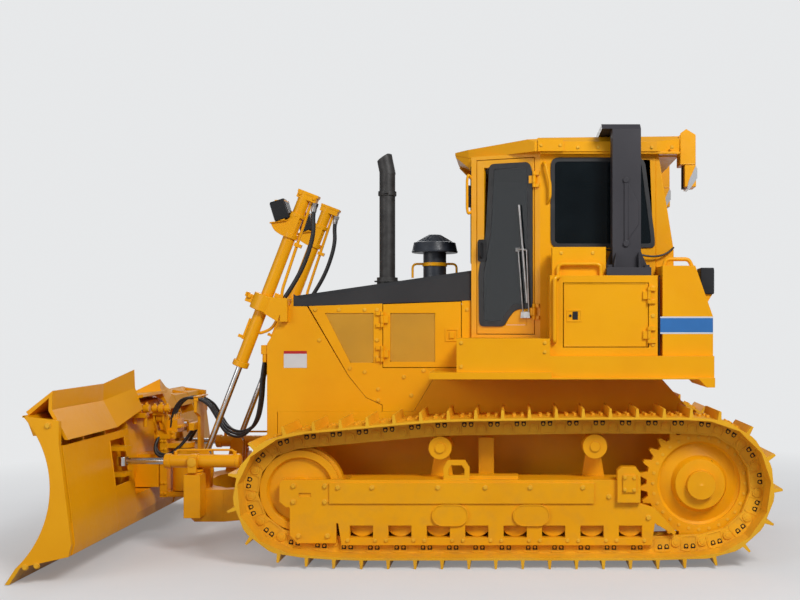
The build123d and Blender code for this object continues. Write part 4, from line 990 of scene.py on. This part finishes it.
def roof_details():
    """Seam strips on the roof and its fixing bolts."""
    trim, bolts = bmesh.new(), bmesh.new()
    for side in SIDES.values():
        edge = (roof_side - 0.1, roof_side - 0.022)
        add_block(trim, side, (-2.085, -0.985), edge, (3.172, 3.192))
        add_block(trim, side, (-2.088, -1.905), (0, 0.7), (3.166, 3.19))
        places = [(x, 3.222) for x in (-1.28, -1.44, -1.86, -2.02)]
        add_side_bolts(bolts, side, 0.816, places, 0.018, 0.006)
        places = [(x, 3.236) for x in (-1.14, -0.99)]
        add_side_bolts(bolts, side, 0.828, places, 0.016, 0.005)
    piece("roof_trim", trim, body_paint, bevel=0.004)
    piece("roof_bolts", bolts, bolt_paint)


def add_pad(name, low, high, tilt=0.0):
    """A padded cushion between two corners: rounded off, crowned, and tilted about Y."""
    bm = bmesh.new()
    bmesh.ops.create_cube(bm, size=2)
    bmesh.ops.subdivide_edges(bm, edges=bm.edges, cuts=7, use_grid_fill=True)
    middle, half = (Vector(low) + Vector(high)) / 2, (Vector(high) - Vector(low)) / 2
    for vert in bm.verts:
        flat = Vector(vert.co)
        soft = flat.lerp(flat.normalized() * 1.25, 0.3)
        crown = 1 - 0.1 * (flat.length_squared - 1)
        vert.co = Vector(a * b for a, b in zip(soft, half)) * crown
    turn = Matrix.Translation(middle) @ Matrix.Rotation(tilt, 4, "Y")
    bmesh.ops.transform(bm, matrix=turn, verts=bm.verts)
    obj = piece(name, bm, finishes["seat_black"])
    return obj


def seat_details():
    """A padded seat between its consoles, each with its lever."""
    cushion = add_pad("seat_cushion", (-1.5, -0.24, 1.965), (-1.05, 0.24, 2.085))
    add_pad("seat_back", (-1.555, -0.225, 2.11), (-1.425, 0.225, 2.67), -0.15)
    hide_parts("operator_seat")
    base = bmesh.new()
    add_box(base, (-1.54, -0.22, 1.75), (-1.08, 0.22, 1.93))
    add_box(base, (-1.56, -0.25, 1.928), (-1.06, 0.25, 1.962))
    for side in SIDES.values():
        add_block(base, side, (-1.495, -0.955), (0.295, 0.415), (1.75, 2.13))
        add_block(base, side, (-1.48, -1.1), (0.305, 0.405), (2.13, 2.175))
        y = side * 0.355
        add_rod(base, (-1.02, y, 2.12), (-0.99, y, 2.29), 0.01, 12)
        add_rod(base, (-0.992, y, 2.27), (-0.984, y, 2.35), 0.024, 16, 0.018)
    piece("seat_base", base, black_paint, bevel=0.008)


# ------------------------------------------------------------------ roll-over frame, boxes, tank


def rops_details(side_name, side):
    """Foot bolts, the post's slotted inner plate and its gussets."""
    bolts, plates = bmesh.new(), bmesh.new()
    foot_top = 2.262
    places = [(x, side * y, foot_top) for x in (-1.795, -1.51) for y in (0.865, 0.96, 1.055)]
    add_bolts(bolts, places, (0, 0, 1), 0.034, 0.022)
    post_face = 0.99
    face = side * post_face
    add_block(plates, side, (-1.655, -1.625), (post_face, post_face + 0.01), (2.43, 2.96))
    for z in (2.45, 2.94):
        add_rod(plates, (-1.64, face, z), (-1.64, face + side * 0.014, z), 0.024, 20)
    cover = ((-1.655, 2.92), (-1.738, 2.77), (-1.738, 2.6), (-1.655, 2.48))
    add_plate(plates, cover, face, side * 0.006)
    for edge_x, foot_x in ((-1.56, -1.535), (-1.73, -1.755)):
        gusset = ((edge_x, foot_top), (edge_x, 2.38), (foot_x, foot_top))
        add_plate(plates, gusset, face, side * 0.055)
    piece(f"rops_bolts_{side_name}", bolts, rops_paint)
    piece(f"rops_plates_{side_name}", plates, rops_paint, bevel=0.003)


def service_details(side_name, side):
    """Latch, hinge screws and edge lines of the service door, and the box's seams."""
    y = side * service_side
    out = Vector((0, side, 0))
    door = f"service_door_{side_name}"

    def on_face(*spans):
        return [Vector((x * MM, y, z * MM)) for x, z in rectangle(*spans)]

    latch, grip, rim, bolts, seam = (bmesh.new() for _ in range(5))
    add_frame(latch, on_face(-1176, -1294, 1848, 1942), on_face(-1188, -1282, 1860, 1930),
              (0, 0, 0), out * 0.004)
    piece(f"service_latch_frame_{side_name}", latch, body_paint, door, 0.001)
    add_prism(grip, on_face(-1222, -1262, 1866, 1926), (0, 0, 0), out * 0.005)
    add_rod(grip, (-1.205, y, 1.895), (-1.205, y + side * 0.006, 1.895), 0.01, 16)
    piece(f"service_latch_{side_name}", grip, black_paint, door, 0.001)
    add_frame(rim, on_face(-1155, -1795, 1660, 2140), on_face(-1162, -1788, 1667, 2133),
              (0, 0, 0), out * 0.0025)
    piece(f"service_rim_{side_name}", rim, body_paint, door, 0.001)
    places = [(-1.832, z) for z in (2.107, 1.894, 1.676)]
    add_side_bolts(bolts, side, service_side, places, 0.022, 0.008)
    add_side_bolts(bolts, side, 1.04, ((-1.14, 2.375), (-1.38, 2.375)), 0.018, 0.006)
    piece(f"service_bolts_{side_name}", bolts, bolt_paint)
    add_box(seam, *box_on(side, y - side * 0.004, (-1876, -1884), (1594, 2200), 0.0046))
    piece(f"tank_seam_{side_name}", seam, hollow_shade_and_seams)


def tank_details(side_name, side):
    """The blank stripe along the tank's side, and the rear lamp on its bracket."""
    stripe, lamp, face, bracket = (bmesh.new() for _ in range(4))
    outline = rectangle(-1.888, -2.287, STRIPE_LOW, STRIPE_HIGH)
    add_plate(stripe, outline, side * service_side, side * 0.0012)
    piece(f"tank_stripe_{side_name}", stripe, blue_stripe)
    add_block(lamp, side, (-2.305, -2.2), (0.9, 1.06), (2.06, 2.262))
    piece(f"tank_lamp_{side_name}", lamp, black_paint, bevel=0.008)
    add_block(face, side, (-2.309, -2.304), (0.915, 1.045), (2.075, 2.247))
    piece(f"tank_lamp_lens_{side_name}", face, lens, bevel=0.002)
    cheek = ((-2.21, 2.062), (-2.296, 2.062), (-2.25, 1.985), (-2.222, 2.04))
    for y in (0.92, 1.03):
        add_plate(bracket, cheek, min(side * y, side * (y + 0.01)), 0.01)
    piece(f"tank_lamp_bracket_{side_name}", bracket, body_paint, bevel=0.001)


def roof_lamps(side_name, side):
    """The rear roof lamp's yellow housing, its white face and its bracket."""
    low, high = sorted((side * 0.59, side * 0.77))
    shell, face = bmesh.new(), bmesh.new()
    cheek = ((-2.092, 3.092), (-2.215, 3.092), (-2.215, 3.33), (-2.14, 3.376), (-2.092, 3.34))
    add_plate(shell, cheek, low, 0.008)
    add_plate(shell, cheek, high, -0.008)
    add_box(shell, (-2.215, low, 3.092), (-2.092, high, 3.1))
    add_box(shell, (-2.218, low, 2.918), (-2.128, high, 3.09))
    piece(f"roof_lamp_housing_{side_name}", shell, body_paint, bevel=0.004)
    outline = ((-2.226, 3.06), (-2.214, 3.084), (-2.16, 2.965), (-2.146, 2.905), (-2.168, 2.9),
               (-2.226, 2.985))
    width = 0.182 if side == LEFT else 0.178
    add_plate(face, outline, low + 0.004, width)
    piece(f"roof_lamp_lens_{side_name}", face, lens)


# ------------------------------------------------------------------ hood top


def hood_top_details():
    """Exhaust mouth, a dark disc of painted shade, and collars, pre-cleaner ribs and bracket, and
    the radiator's front.
    """
    up = (0, 0, 1)
    collar, mouth, cap, base, mesh_sheet, bars = (bmesh.new() for _ in range(6))
    x = 0.321  # the exhaust stack
    clamp = ((0.073, -0.02), (0.079, -0.018), (0.079, 0.018), (0.073, 0.02), (0.069, 0.0))
    add_lathe(collar, clamp, (x, 0, 2.961), up, 32)
    add_rod(collar, (x - 0.02, 0.085, 2.961), (x + 0.02, 0.085, 2.961), 0.008, 10)
    foot = ((0.112, 0.0), (0.112, 0.01), (0.092, 0.012), (0.092, 0.0))
    add_lathe(collar, foot, (x, 0, 2.196), up, 32)
    piece("exhaust_collars", collar, finishes["exhaust_metal"])
    # the mouth is a dark disc of painted shade inside the pipe's tip
    tip = Vector((x + 0.027, 0, 3.2775))
    facing = Vector((0.112, 0, 0.17)).normalized()
    turn = Matrix.Translation(tip + facing * 0.001) @ axis_turn(facing) @ Matrix.Scale(0.055, 4)
    bmesh.ops.create_circle(mouth, cap_ends=True, radius=1, segments=32, matrix=turn)
    piece("exhaust_mouth", mouth, hollow_shade_and_seams)
    x = -0.09  # the pre-cleaner
    for a, b in circle(24, 1):
        spoke = Vector((a, b, 0))
        top, rim = Vector((x, 0, 2.602)) + spoke * 0.05, Vector((x, 0, 2.543)) + spoke * 0.15
        add_rod(cap, top, rim, 0.004, 6)
    band = ((0.196, 0.0), (0.199, 0.004), (0.199, 0.012), (0.196, 0.016))
    add_lathe(cap, band, (x, 0, 2.45), up, 48)
    piece("precleaner_ribs", cap, finishes["precleaner_black"])
    collar_band = ((0.1, 0.0), (0.108, 0.003), (0.108, 0.03), (0.1, 0.033))
    add_lathe(base, collar_band, (x, 0, 2.33), up, 36)
    hoop = [(x - 0.19, 0.02, 2.262), (x - 0.19, 0.02, 2.352), (x + 0.19, 0.02, 2.352),
            (x + 0.19, 0.02, 2.232)]
    add_tube(base, rounded(hoop, 0.04), 0.01)
    piece("precleaner_bracket", base, body_paint)
    add_box(mesh_sheet, (1.196, -0.378, 1.182), (1.2, 0.378, 1.618))
    piece("radiator_mesh", mesh_sheet, front_mesh)
    opening = 0.76
    for k in range(1, 6):
        y = -opening / 2 + k * opening / 6
        add_box(bars, (1.205, y - 0.008, 1.18), (1.235, y + 0.008, 1.62))
    places = ((0.44, 1.62), (0.44, 1.4), (0.44, 1.18), (0.44, 0.95), (0.22, 0.7))
    add_bolts(bars, [(1.237, side * y, z) for side in (RIGHT, LEFT) for y, z in places],
              (1, 0, 0), 0.024, 0.01)
    piece("radiator_bars", bars, body_paint, bevel=0.002)


# ------------------------------------------------------------------ working gear

lift_y = 0.494
lift_top = Vector((1.269, 0, 1.998))
lift_eye = Vector((1.745, 0, 0.761))
lift_down = (lift_eye - lift_top).normalized()
lift_ahead = Vector((-lift_down.z, 0, lift_down.x))


def lift_place(side):
    """A function from (down the cylinder from its trunnion, ahead, outward) to a point."""
    base = lift_top + Vector((0, side * lift_y, 0))

    def at(along, ahead=0.0, out=0.0):
        return base + lift_down * along + lift_ahead * ahead + Vector((0, side * out, 0))

    return at


# (start, end, radius) of the collars along the barrel from its trunnion
lift_collars = ((-0.072, 0.062, 0.1), (0.5, 0.548, 0.066), (-0.79, -0.755, 0.064),
                (-0.62, -0.575, 0.064))
# (start and end along the barrel, start and end ahead of it, width) of its blocks and tabs
lift_blocks = (
    (-0.04, 0.03, 0.092, 0.15, 0.06),
    (-0.045, -0.01, 0.145, 0.16, 0.09),
    (-0.05, 0.05, -0.15, -0.092, 0.07),
    (0.15, 0.33, 0.048, 0.066, 0.03),
    (0.3, 0.325, 0.06, 0.1, 0.04),
    (-0.12, -0.085, -0.13, -0.06, 0.05),
    (-0.56, -0.53, -0.12, -0.06, 0.04),
    (-0.98, -0.958, -0.112, 0.062, 0.098),
)
# (along, ahead) of the oil pipe's bends
lift_pipe_route = ((-0.945, -0.064), (-0.86, -0.066), (-0.15, -0.1), (-0.06, -0.135),
                   (0.06, -0.15), (0.17, -0.135), (0.235, -0.06), (0.235, -0.03))
lamp_cheek = ((-0.64, 0.176), (-0.712, 0.048), (-0.79, 0.046), (-0.79, -0.036),
              (-0.575, -0.036), (-0.575, 0.06), (-0.59, 0.125))


def lift_details(side_name, side):
    """A lift cylinder's clamp blocks with their bolts, oil pipe, and lamp with its bracket."""
    at = lift_place(side)
    body = f"lift_barrel_{side_name}"
    clamp, pipe, lamp, shell, face = (bmesh.new() for _ in range(5))
    bore, chamfer = 0.045, 0.004  # the collars are open inside, so the rod runs through
    for start, end, radius in lift_collars:
        profile = ((bore, start), (radius - chamfer, start), (radius, start + chamfer),
                   (radius, end - chamfer), (radius - chamfer, end), (bore, end))
        add_lathe(clamp, profile, at(0), lift_down, 36)
    for start, end, near, far, width in lift_blocks:
        outline = [at(start, near), at(end, near), at(end, far), at(start, far)]
        add_prism(clamp, outline, (0, -width / 2, 0), (0, width / 2, 0))
    for along, ahead in ((-0.03, -0.122), (0.03, -0.122), (-0.015, 0.124)):
        add_bolts(clamp, [at(along, ahead, 0.034)], (0, side, 0), 0.022, 0.012)
    for along, ahead in ((-0.945, -0.085), (-0.945, 0.035)):
        add_bolts(clamp, [at(along, ahead, 0.046)], (0, side, 0), 0.02, 0.01)
    piece(f"lift_clamps_{side_name}", clamp, body_paint, body, 0.004)
    add_tube(pipe, rounded([at(*place) for place in lift_pipe_route], 0.06), 0.0125)
    piece(f"lift_pipe_{side_name}", pipe, body_paint, body)
    cheek = [at(*place) for place in lamp_cheek]
    for shift in (-0.06, 0.052):
        add_prism(lamp, round_outline(cheek, 0.03), (0, shift, 0), (0, shift + 0.008, 0))
    thickness = lift_down * 0.01
    seat = [cheek[0], cheek[1], cheek[1] + thickness, cheek[0] + thickness]
    add_prism(lamp, seat, (0, -0.078, 0), (0, 0.078, 0))
    piece(f"lamp_bracket_{side_name}", lamp, body_paint, body, 0.002)
    middle = Vector((1.122, side * lift_y, 2.757))
    tilt = Matrix.Rotation(radians(17), 4, "Y")
    half = Vector((0.062, 0.09, 0.082))
    add_box(shell, middle - half, middle + half, tilt)
    piece(f"lift_lamp_{side_name}", shell, black_paint, body, 0.01)
    middle += tilt @ Vector((0.063, 0, 0))
    half = Vector((0.003, 0.076, 0.068))
    add_box(face, middle - half, middle + half, tilt)
    piece(f"lift_lamp_lens_{side_name}", face, lens, body, 0.001)


def smooth_route(points):
    """Closely spaced points on the NURBS curve that has these control points."""
    data = bpy.data.curves.new("route", "CURVE")
    data.dimensions = "3D"
    data.resolution_u = 10
    spline = data.splines.new("NURBS")
    spline.points.add(len(points) - 1)
    for target, point in zip(spline.points, points):
        target.co = (*point, 1)
    spline.order_u = 3
    spline.use_endpoint_u = True
    holder = bpy.data.objects.new("route", data)
    mesh = bpy.data.meshes.new_from_object(holder)
    line = [vertex.co.copy() for vertex in mesh.vertices]
    bpy.data.objects.remove(holder)
    bpy.data.curves.remove(data)
    bpy.data.meshes.remove(mesh)
    return line


def hose(name, points, radius, joint):
    """A rubber hose along a route; the joint between two bodies that it is given is not used."""
    line = smooth_route(points)
    bm = bmesh.new()
    add_tube(bm, line, radius, 14)
    obj = piece(name, bm, hose_cover, None)
    length = sum((b - a).length for a, b in zip(line, line[1:]))
    tuple(joint[0])
    tuple(joint[1])
    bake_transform(obj)
    tuple(line[0])
    [tuple(p) for p in line]
    return line


thin_hose, nose_hose, thick_hose = 0.0115, 0.013, 0.018  # radii


def lift_hoses(side_name, side):
    """The hose from a lift cylinder's cap down to the hood's front corner."""
    at = lift_place(side)
    points = [at(-0.905, -0.1), at(-0.83, -0.108), at(-0.68, -0.178), at(-0.43, -0.195),
              at(-0.23, -0.17), at(-0.11, -0.142)]
    line = hose(f"lift_hose_{side_name}", points, thick_hose,
                (at(-0.7, -0.17), at(-0.2, -0.16)))
    ends = bmesh.new()
    along = (line[3] - line[0]).normalized()
    add_rod(ends, line[0] - along * 0.012, line[0] + along * 0.06, 0.023, 18)
    add_rod(ends, line[0] - along * 0.014, line[0] + along * 0.016, 0.028, 6)
    piece(f"lift_hose_fittings_{side_name}", ends, bare_steel, f"lift_barrel_{side_name}", 0.001)


guard_x = 1.262  # where the hoses leave the radiator guard
# (y at the guard, y at the bracket, sag height) of the hoses that cross to the push frame
crossing_hoses = ((0.488, 0.12, 0.885), (0.456, 0.08, 0.905), (0.424, 0.04, 0.925),
                  (0.392, -0.04, 0.915))
# (y at the bracket, y at the pivot block, lowest height) of the hoses in front of the nose
nose_hoses = ((0.045, 0.185, 0.73), (0.018, 0.15, 0.742), (-0.045, -0.185, 0.735))


def blade_hoses():
    """Hoses from the radiator guard over the push frame's bracket to the blade's cylinders."""
    for index, (guard_y, bracket_y, sag) in enumerate(crossing_hoses):
        points = [(guard_x, guard_y, 1.56), (1.29, guard_y, 1.42), (1.3, guard_y, 1.2),
                  (1.345, guard_y * 0.95, 1.01), (1.48, guard_y * 0.8, sag),
                  (1.64, guard_y * 0.5 + bracket_y * 0.5, sag + 0.03),
                  (1.755, guard_y * 0.15 + bracket_y * 0.85, 1.05), (1.85, bracket_y, 1.17),
                  (1.938, bracket_y, 1.196)]
        hose(f"crossing_hose_{index}", points, thin_hose,
             ((1.34, guard_y, 1.0), (1.82, bracket_y, 1.06)))
        points = [(1.938, bracket_y, 1.196), (2.01, bracket_y, 1.206),
                  (2.085, bracket_y * 0.8, 1.18), (2.14, bracket_y * 0.6 + 0.02, 1.1),
                  (2.158, bracket_y * 0.4 + 0.045, 1.01), (2.166, bracket_y * 0.3 + 0.055, 0.945)]
        hose(f"pivot_hose_{index}", points, thin_hose,
             ((1.99, bracket_y, 1.2), (2.14, bracket_y, 1.1)))
    for index, (bracket_y, blade_y, low) in enumerate(nose_hoses):
        points = [(1.962, bracket_y, 0.965), (2.01, bracket_y * 1.4, 0.89),
                  (2.09, (bracket_y + blade_y) / 2, low + 0.04),
                  (2.18, blade_y * 0.95, low - 0.035), (2.262, blade_y, low - 0.005),
                  (2.28, blade_y * 0.9, low + 0.07), (2.262, blade_y * 0.72, low + 0.125)]
        hose(f"nose_hose_{index}", points, nose_hose,
             ((1.99, bracket_y, 0.9), (2.19, blade_y, low)))
    fittings = bmesh.new()
    for guard_y, _, _ in crossing_hoses:
        add_rod(fittings, (guard_x, guard_y, 1.52), (guard_x, guard_y, 1.6), 0.021, 6)
        add_rod(fittings, (1.24, guard_y, 1.61), (1.275, guard_y, 1.61), 0.019, 16)
    add_box(fittings, (1.238, 0.372, 1.585), (1.29, 0.508, 1.66))
    piece("guard_fittings", fittings, body_paint, bevel=0.003)
    block_bm = bmesh.new()
    add_box(block_bm, (1.95, -0.15, 0.925), (1.995, 0.15, 0.99))
    add_box(block_bm, (1.918, -0.15, 1.172), (1.957, 0.15, 1.186))
    add_box(block_bm, (1.918, -0.15, 1.206), (1.957, 0.15, 1.216))
    for _, bracket_y, _ in crossing_hoses:
        for shift in (-0.016, 0.016):
            add_box(block_bm, (1.918, bracket_y + shift - 0.004, 1.18),
                    (1.957, bracket_y + shift + 0.004, 1.212))
    for bracket_y, _, _ in nose_hoses:
        add_rod(block_bm, (1.98, bracket_y, 0.93), (1.98, bracket_y, 0.975), 0.02, 6)
    piece("nose_manifold", block_bm, body_paint, "push_frame", 0.004)


valve_z = 1.118


def add_valve_row(bm, y, half, plug, spools, bar):
    """Spools on a common (start, end, radius) bar along X, each with a hexagon plug on top."""
    for x, radius in spools:
        add_rod(bm, (x - half, y, valve_z), (x + half, y, valve_z), radius, 18)
        add_rod(bm, (x, y, valve_z), (x, y, valve_z + 0.016 + radius), plug, 6)
    start, end, radius = bar
    add_rod(bm, (start, y, valve_z), (end, y, valve_z), radius, 16)


def pivot_details():
    """The valve block on the blade's pivot tower and the pipework on the blade behind it."""
    block, row = bmesh.new(), bmesh.new()
    add_box(block, (2.108, -0.08, 0.905), (2.19, 0.1, 1.01))
    for y in (-0.06, -0.01, 0.04, 0.085):
        add_rod(block, (2.15, y, 1.005), (2.15, y, 1.06), 0.018, 6)
        add_rod(block, (2.11, y, 0.95), (2.075, y, 0.95), 0.014, 14)
    add_box(block, (2.12, 0.095, 0.85), (2.3, 0.118, 0.925))
    places = [(x, z) for x in (2.145, 2.275) for z in (0.87, 0.905)]
    add_side_bolts(block, LEFT, 0.118, places, 0.02, 0.01)
    places = [(x, z) for x in (2.21, 2.24) for z in (0.38, 0.47, 0.76, 0.83)]
    for side in SIDES.values():
        add_side_bolts(block, side, 0.11, places, 0.02, 0.01)
    spools = ((2.15, 0.03), (2.2, 0.038), (2.255, 0.028))
    add_valve_row(block, 0.225, 0.02, 0.013, spools, (2.125, 2.285, 0.017))
    add_box(block, (2.19, 0.165, 1.06), (2.28, 0.215, 1.095))
    piece("pivot_valve_block", block, body_paint, "blade_pivot", 0.004)
    spools = ((2.335, 0.034), (2.395, 0.04), (2.455, 0.03), (2.51, 0.038), (2.56, 0.026))
    add_valve_row(row, 0.2, 0.026, 0.014, spools, (2.315, 2.6, 0.018))
    add_box(row, (2.33, 0.15, 1.04), (2.47, 0.24, 1.082))
    add_rod(row, (2.345, 0.2, 1.04), (2.345, 0.2, 0.96), 0.016, 14)
    add_rod(row, (2.44, 0.18, 1.045), (2.44, 0.18, 0.985), 0.02, 6)
    piece("blade_pipework", row, body_paint, "blade", 0.003)


blade_half_width = 1.7


def blade_details():
    """Cutting-edge bolts and seams, end-plate bolts and the blade's top lip."""
    edge, seams, bolts, lip = (bmesh.new() for _ in range(4))
    slope = Vector((0.074, 0, -0.113)).normalized()
    facing = Vector((0.113, 0, 0.074)).normalized()
    toe = Vector((2.712, 0, 0.118))
    bolt_count, bolt_reach = 22, 1.62
    for k in range(bolt_count):
        y = -bolt_reach + k * 2 * bolt_reach / (bolt_count - 1)
        place = toe + slope * 0.045 + Vector((0, y, 0)) + facing * 0.0005
        add_lathe(edge, ((0.019, 0.0), (0.017, 0.003), (0.0, 0.003)), place, facing, 16)
    piece("edge_bolts", edge, bare_steel, "blade")
    foot = toe + slope * 0.134
    for y in (-1.35, -0.45, 0.45, 1.35):
        near, far = Vector((0, y - 0.002, 0)), Vector((0, y + 0.002, 0))
        corners = [toe + near, toe + far, foot + far, foot + near]
        add_prism(seams, corners, (0, 0, 0), facing * 0.0009)
    piece("edge_seams", seams, hollow_shade_and_seams, "blade")
    places = ((2.482, 1.12), (2.56, 0.14), (2.64, 0.13))
    for side in SIDES.values():
        add_side_bolts(bolts, side, blade_half_width, places, 0.03, 0.014)
    piece("end_plate_bolts", bolts, bolt_paint, "blade")
    add_box(lip, (2.636, -blade_half_width, 1.176), (2.664, blade_half_width, 1.19))
    piece("blade_top_lip", lip, body_paint, "blade", 0.004)


# the line of the blade ribs' rear edges, as (x, z) from the bottom up
rib_line = ((2.34, 0.2), (2.32, 0.285), (2.352, 0.563), (2.406, 0.981))


def blade_back(side_name, side):
    """The plates that close the blade's back, left open round the angle cylinder's eye."""
    def x_at(z):
        for (x0, z0), (x1, z1) in zip(rib_line, rib_line[1:]):
            if z <= z1:
                return x0 + (x1 - x0) * (z - z0) / (z1 - z0)
        return rib_line[-1][0]

    plates = bmesh.new()
    for near, far, low, high in ((0.85, 1.655, 0.205, 0.975), (0.47, 0.85, 0.205, 0.56),
                                 (0.47, 0.85, 0.915, 0.975), (0.47, 0.545, 0.56, 0.915)):
        heights = [low] + [z for _, z in rib_line if low < z < high] + [high]
        back = [Vector((x_at(z) - 0.008, side * near, z)) for z in heights]
        front = [Vector((x_at(z) + 0.004, side * near, z)) for z in reversed(heights)]
        add_prism(plates, back + front, (0, 0, 0), (0, side * (far - near), 0))
    add_tube(plates, [(x_at(z) - 0.008, side * 0.85, z) for z in (0.56, 0.7, 0.915)], 0.006, 8)
    piece(f"blade_back_{side_name}", plates, body_paint, "blade", 0.002)


trunnion_x, angle_y, angle_z = 1.765, 0.7, 0.74


def angle_details(side_name, side):
    """An angle cylinder's gland, end cap, ports with their pipe, and the trunnion's caps."""
    x, y, z = trunnion_x, side * angle_y, angle_z
    bits, pin = bmesh.new(), bmesh.new()
    gland = ((0.053, 0.0), (0.06, 0.004), (0.06, 0.044), (0.053, 0.048))
    add_lathe(bits, gland, (1.955, y, z), (1, 0, 0), 32)
    end_cap = ((0.053, 0.0), (0.059, 0.003), (0.059, 0.03), (0.053, 0.033))
    add_lathe(bits, end_cap, (1.404, y, z), (1, 0, 0), 32)
    for port_x in (1.45, 1.92):
        add_rod(bits, (port_x, y, z + 0.045), (port_x, y, z + 0.08), 0.016, 6)
    pipe = [(1.45, y, z + 0.07), (1.47, y, z + 0.088), (1.7, y, z + 0.088), (1.9, y, z + 0.088),
            (1.92, y, z + 0.07)]
    add_tube(bits, rounded(pipe, 0.03), 0.009)
    piece(f"angle_fittings_{side_name}", bits, body_paint, f"angle_barrel_{side_name}", 0.001)
    add_rod(pin, (x, y, z - 0.02), (x, y, z + 0.02), 0.01, 8)
    cap = ((0.036, 0.0), (0.036, 0.006), (0.022, 0.01), (0.0, 0.01))
    for face in (LEFT, RIGHT):
        add_lathe(pin, cap, (x, y + face * 0.092, z), (0, face, 0), 24)
    piece(f"angle_trunnion_caps_{side_name}", pin, bolt_paint, f"angle_yoke_{side_name}")


def undercarriage_details(side_name, side):
    """Track-frame bolts, boss rims, adjuster-cover bolts and the roller axle ends."""
    boss_face, frame_face, cover_face = 1.094, 1.08, 1.139
    pitch = (front_roller - rear_roller) / (roller_count - 1)
    rollers = [(rear_roller + k * pitch) * MM for k in range(roller_count)]
    bolts, rims, ends = bmesh.new(), bmesh.new(), bmesh.new()
    places = [(x, 0.59) for x in (0.56, 0.3, -0.2, -0.56, -0.9, -1.3)]
    add_side_bolts(bolts, side, boss_face, places, 0.026, 0.012)
    places = ((0.9, 0.6), (0.9, 0.48), (0.66, 0.6), (0.66, 0.48), (0.86, 0.22), (0.64, 0.22),
              (-1.5, 0.52), (-1.8, 0.36))
    add_side_bolts(bolts, side, frame_face, places, 0.028, 0.014)
    places = [(x + shift, 0.185) for x in rollers for shift in (-0.105, 0.105)]
    add_side_bolts(bolts, side, frame_face, places, 0.02, 0.01)
    places = [(x, z) for z in (0.58, 0.67) for x in (-1.615, -1.685)]
    add_side_bolts(bolts, side, cover_face, places, 0.02, 0.01)
    piece(f"frame_bolts_{side_name}", bolts, bolt_paint, slot="frame_yellow")
    outer = side * boss_face
    for rear, front in ((-0.43, -0.153), (-1.05, -0.77)):
        outline, inner = [], []
        for middle, start in ((front - 0.082, -90), (rear + 0.082, 90)):
            for step in range(13):
                turn = radians(start + step * 15)
                for target, reach in ((outline, 0.083), (inner, 0.073)):
                    x, z = middle + reach * cos(turn), 0.379 + reach * sin(turn)
                    target.append(Vector((x, outer, z)))
        add_frame(rims, outline, inner, (0, 0, 0), (0, side * 0.004, 0))
    piece(f"boss_rims_{side_name}", rims, frame_paint, bevel=0.001)
    for x in rollers:
        add_lathe(ends, ((0.03, 0.0), (0.03, 0.006), (0.024, 0.008), (0.0, 0.008)),
                  (x, side * 1.036, 0.316), (0, side, 0), 20)
    piece(f"roller_ends_{side_name}", ends, frame_paint)


def fender_details(side_name, side):
    """Step box bolts and the step's raised studs."""
    bolts, tread = bmesh.new(), bmesh.new()
    places = ((-0.38, 1.69), (-0.38, 1.51), (-1.01, 1.69), (-1.01, 1.62))
    add_side_bolts(bolts, side, 1.15, places, 0.02, 0.008)
    piece(f"fender_bolts_{side_name}", bolts, bolt_paint)
    for row in range(4):
        y = side * (0.9 + row * 0.055)
        for column in range(14):
            x = -0.4 - column * 0.044 + (0.022 if row % 2 else 0)
            add_rod(tread, (x, y, 1.7215), (x, y, 1.7245), 0.011, 8, 0.008)
    piece(f"step_tread_{side_name}", tread, body_paint)


def cable_details():
    """The lamp cable under the left window, and the drawbar's pin with its handle."""
    route = [(-1.48, 0.79, 2.425), (-1.6, 0.8, 2.405), (-1.76, 0.8, 2.38), (-1.88, 0.79, 2.36),
             (-1.99, 0.78, 2.385), (-2.045, 0.74, 2.44)]
    cable, pin = bmesh.new(), bmesh.new()
    add_tube(cable, smooth_route(route), 0.008, 10)
    piece("lamp_cable", cable, hose_cover)
    x = -2.39
    shaft = ((0.0, -0.125), (0.022, -0.125), (0.0245, -0.118), (0.0245, 0.1), (0.04, 0.102),
             (0.04, 0.118), (0.0, 0.118))
    add_lathe(pin, shaft, (x, 0, 0.56), (0, 0, 1), 28)
    handle = [(x, -0.03, 0.67), (x, -0.03, 0.72), (x, 0.03, 0.72), (x, 0.03, 0.67)]
    add_tube(pin, rounded(handle, 0.02), 0.006)
    piece("drawbar_pin", pin, bare_steel, bevel=0.001)


def rail_details(side_name, side):
    """The handrails, with the box-top rail standing in front of the upper box."""
    rails = bmesh.new()
    post_y, foot_y, top_y, rear_y = (side * y for y in (1.135, 1.098, 1.07, 1.0))
    for points, bend, radius in (
        ([(-1.085, foot_y, 1.7), (-1.085, post_y, 1.7), (-1.085, post_y, 2.18),
          (-1.12, side * 1.11, 2.19)], 0.03, 0.016),
        ([(-1.113, top_y, 2.2), (-1.113, top_y, 2.29), (-1.44, top_y, 2.29),
          (-1.44, top_y, 2.2)], 0.045, 0.014),
        ([(-1.93, rear_y, 2.274), (-1.945, rear_y, 2.33), (-2.12, rear_y, 2.33),
          (-2.145, rear_y, 2.274)], 0.04, 0.016),
    ):
        add_tube(rails, rounded(points, bend), radius)
    obj = piece(f"handrails_{side_name}", rails, body_paint)
    if side == LEFT:
        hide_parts("handrails")


# ------------------------------------------------------------------ build

make_camera()
blade_hoses()
for side_name, side in SIDES.items():
    lift_hoses(side_name, side)
make_light()
make_floor()
for side_name, side in SIDES.items():
    track_details(side_name, side)
    wheel_details(side_name, side)
    panel_details(side_name, side)
    door_details(side_name, side)
    cab_rails(side_name, side)
    rops_details(side_name, side)
    service_details(side_name, side)
    tank_details(side_name, side)
    roof_lamps(side_name, side)
    lift_details(side_name, side)
    angle_details(side_name, side)
    blade_back(side_name, side)
    undercarriage_details(side_name, side)
    fender_details(side_name, side)
    rail_details(side_name, side)
cab_windows()
roof_details()
seat_details()
hood_top_details()
pivot_details()
blade_details()
cable_details()
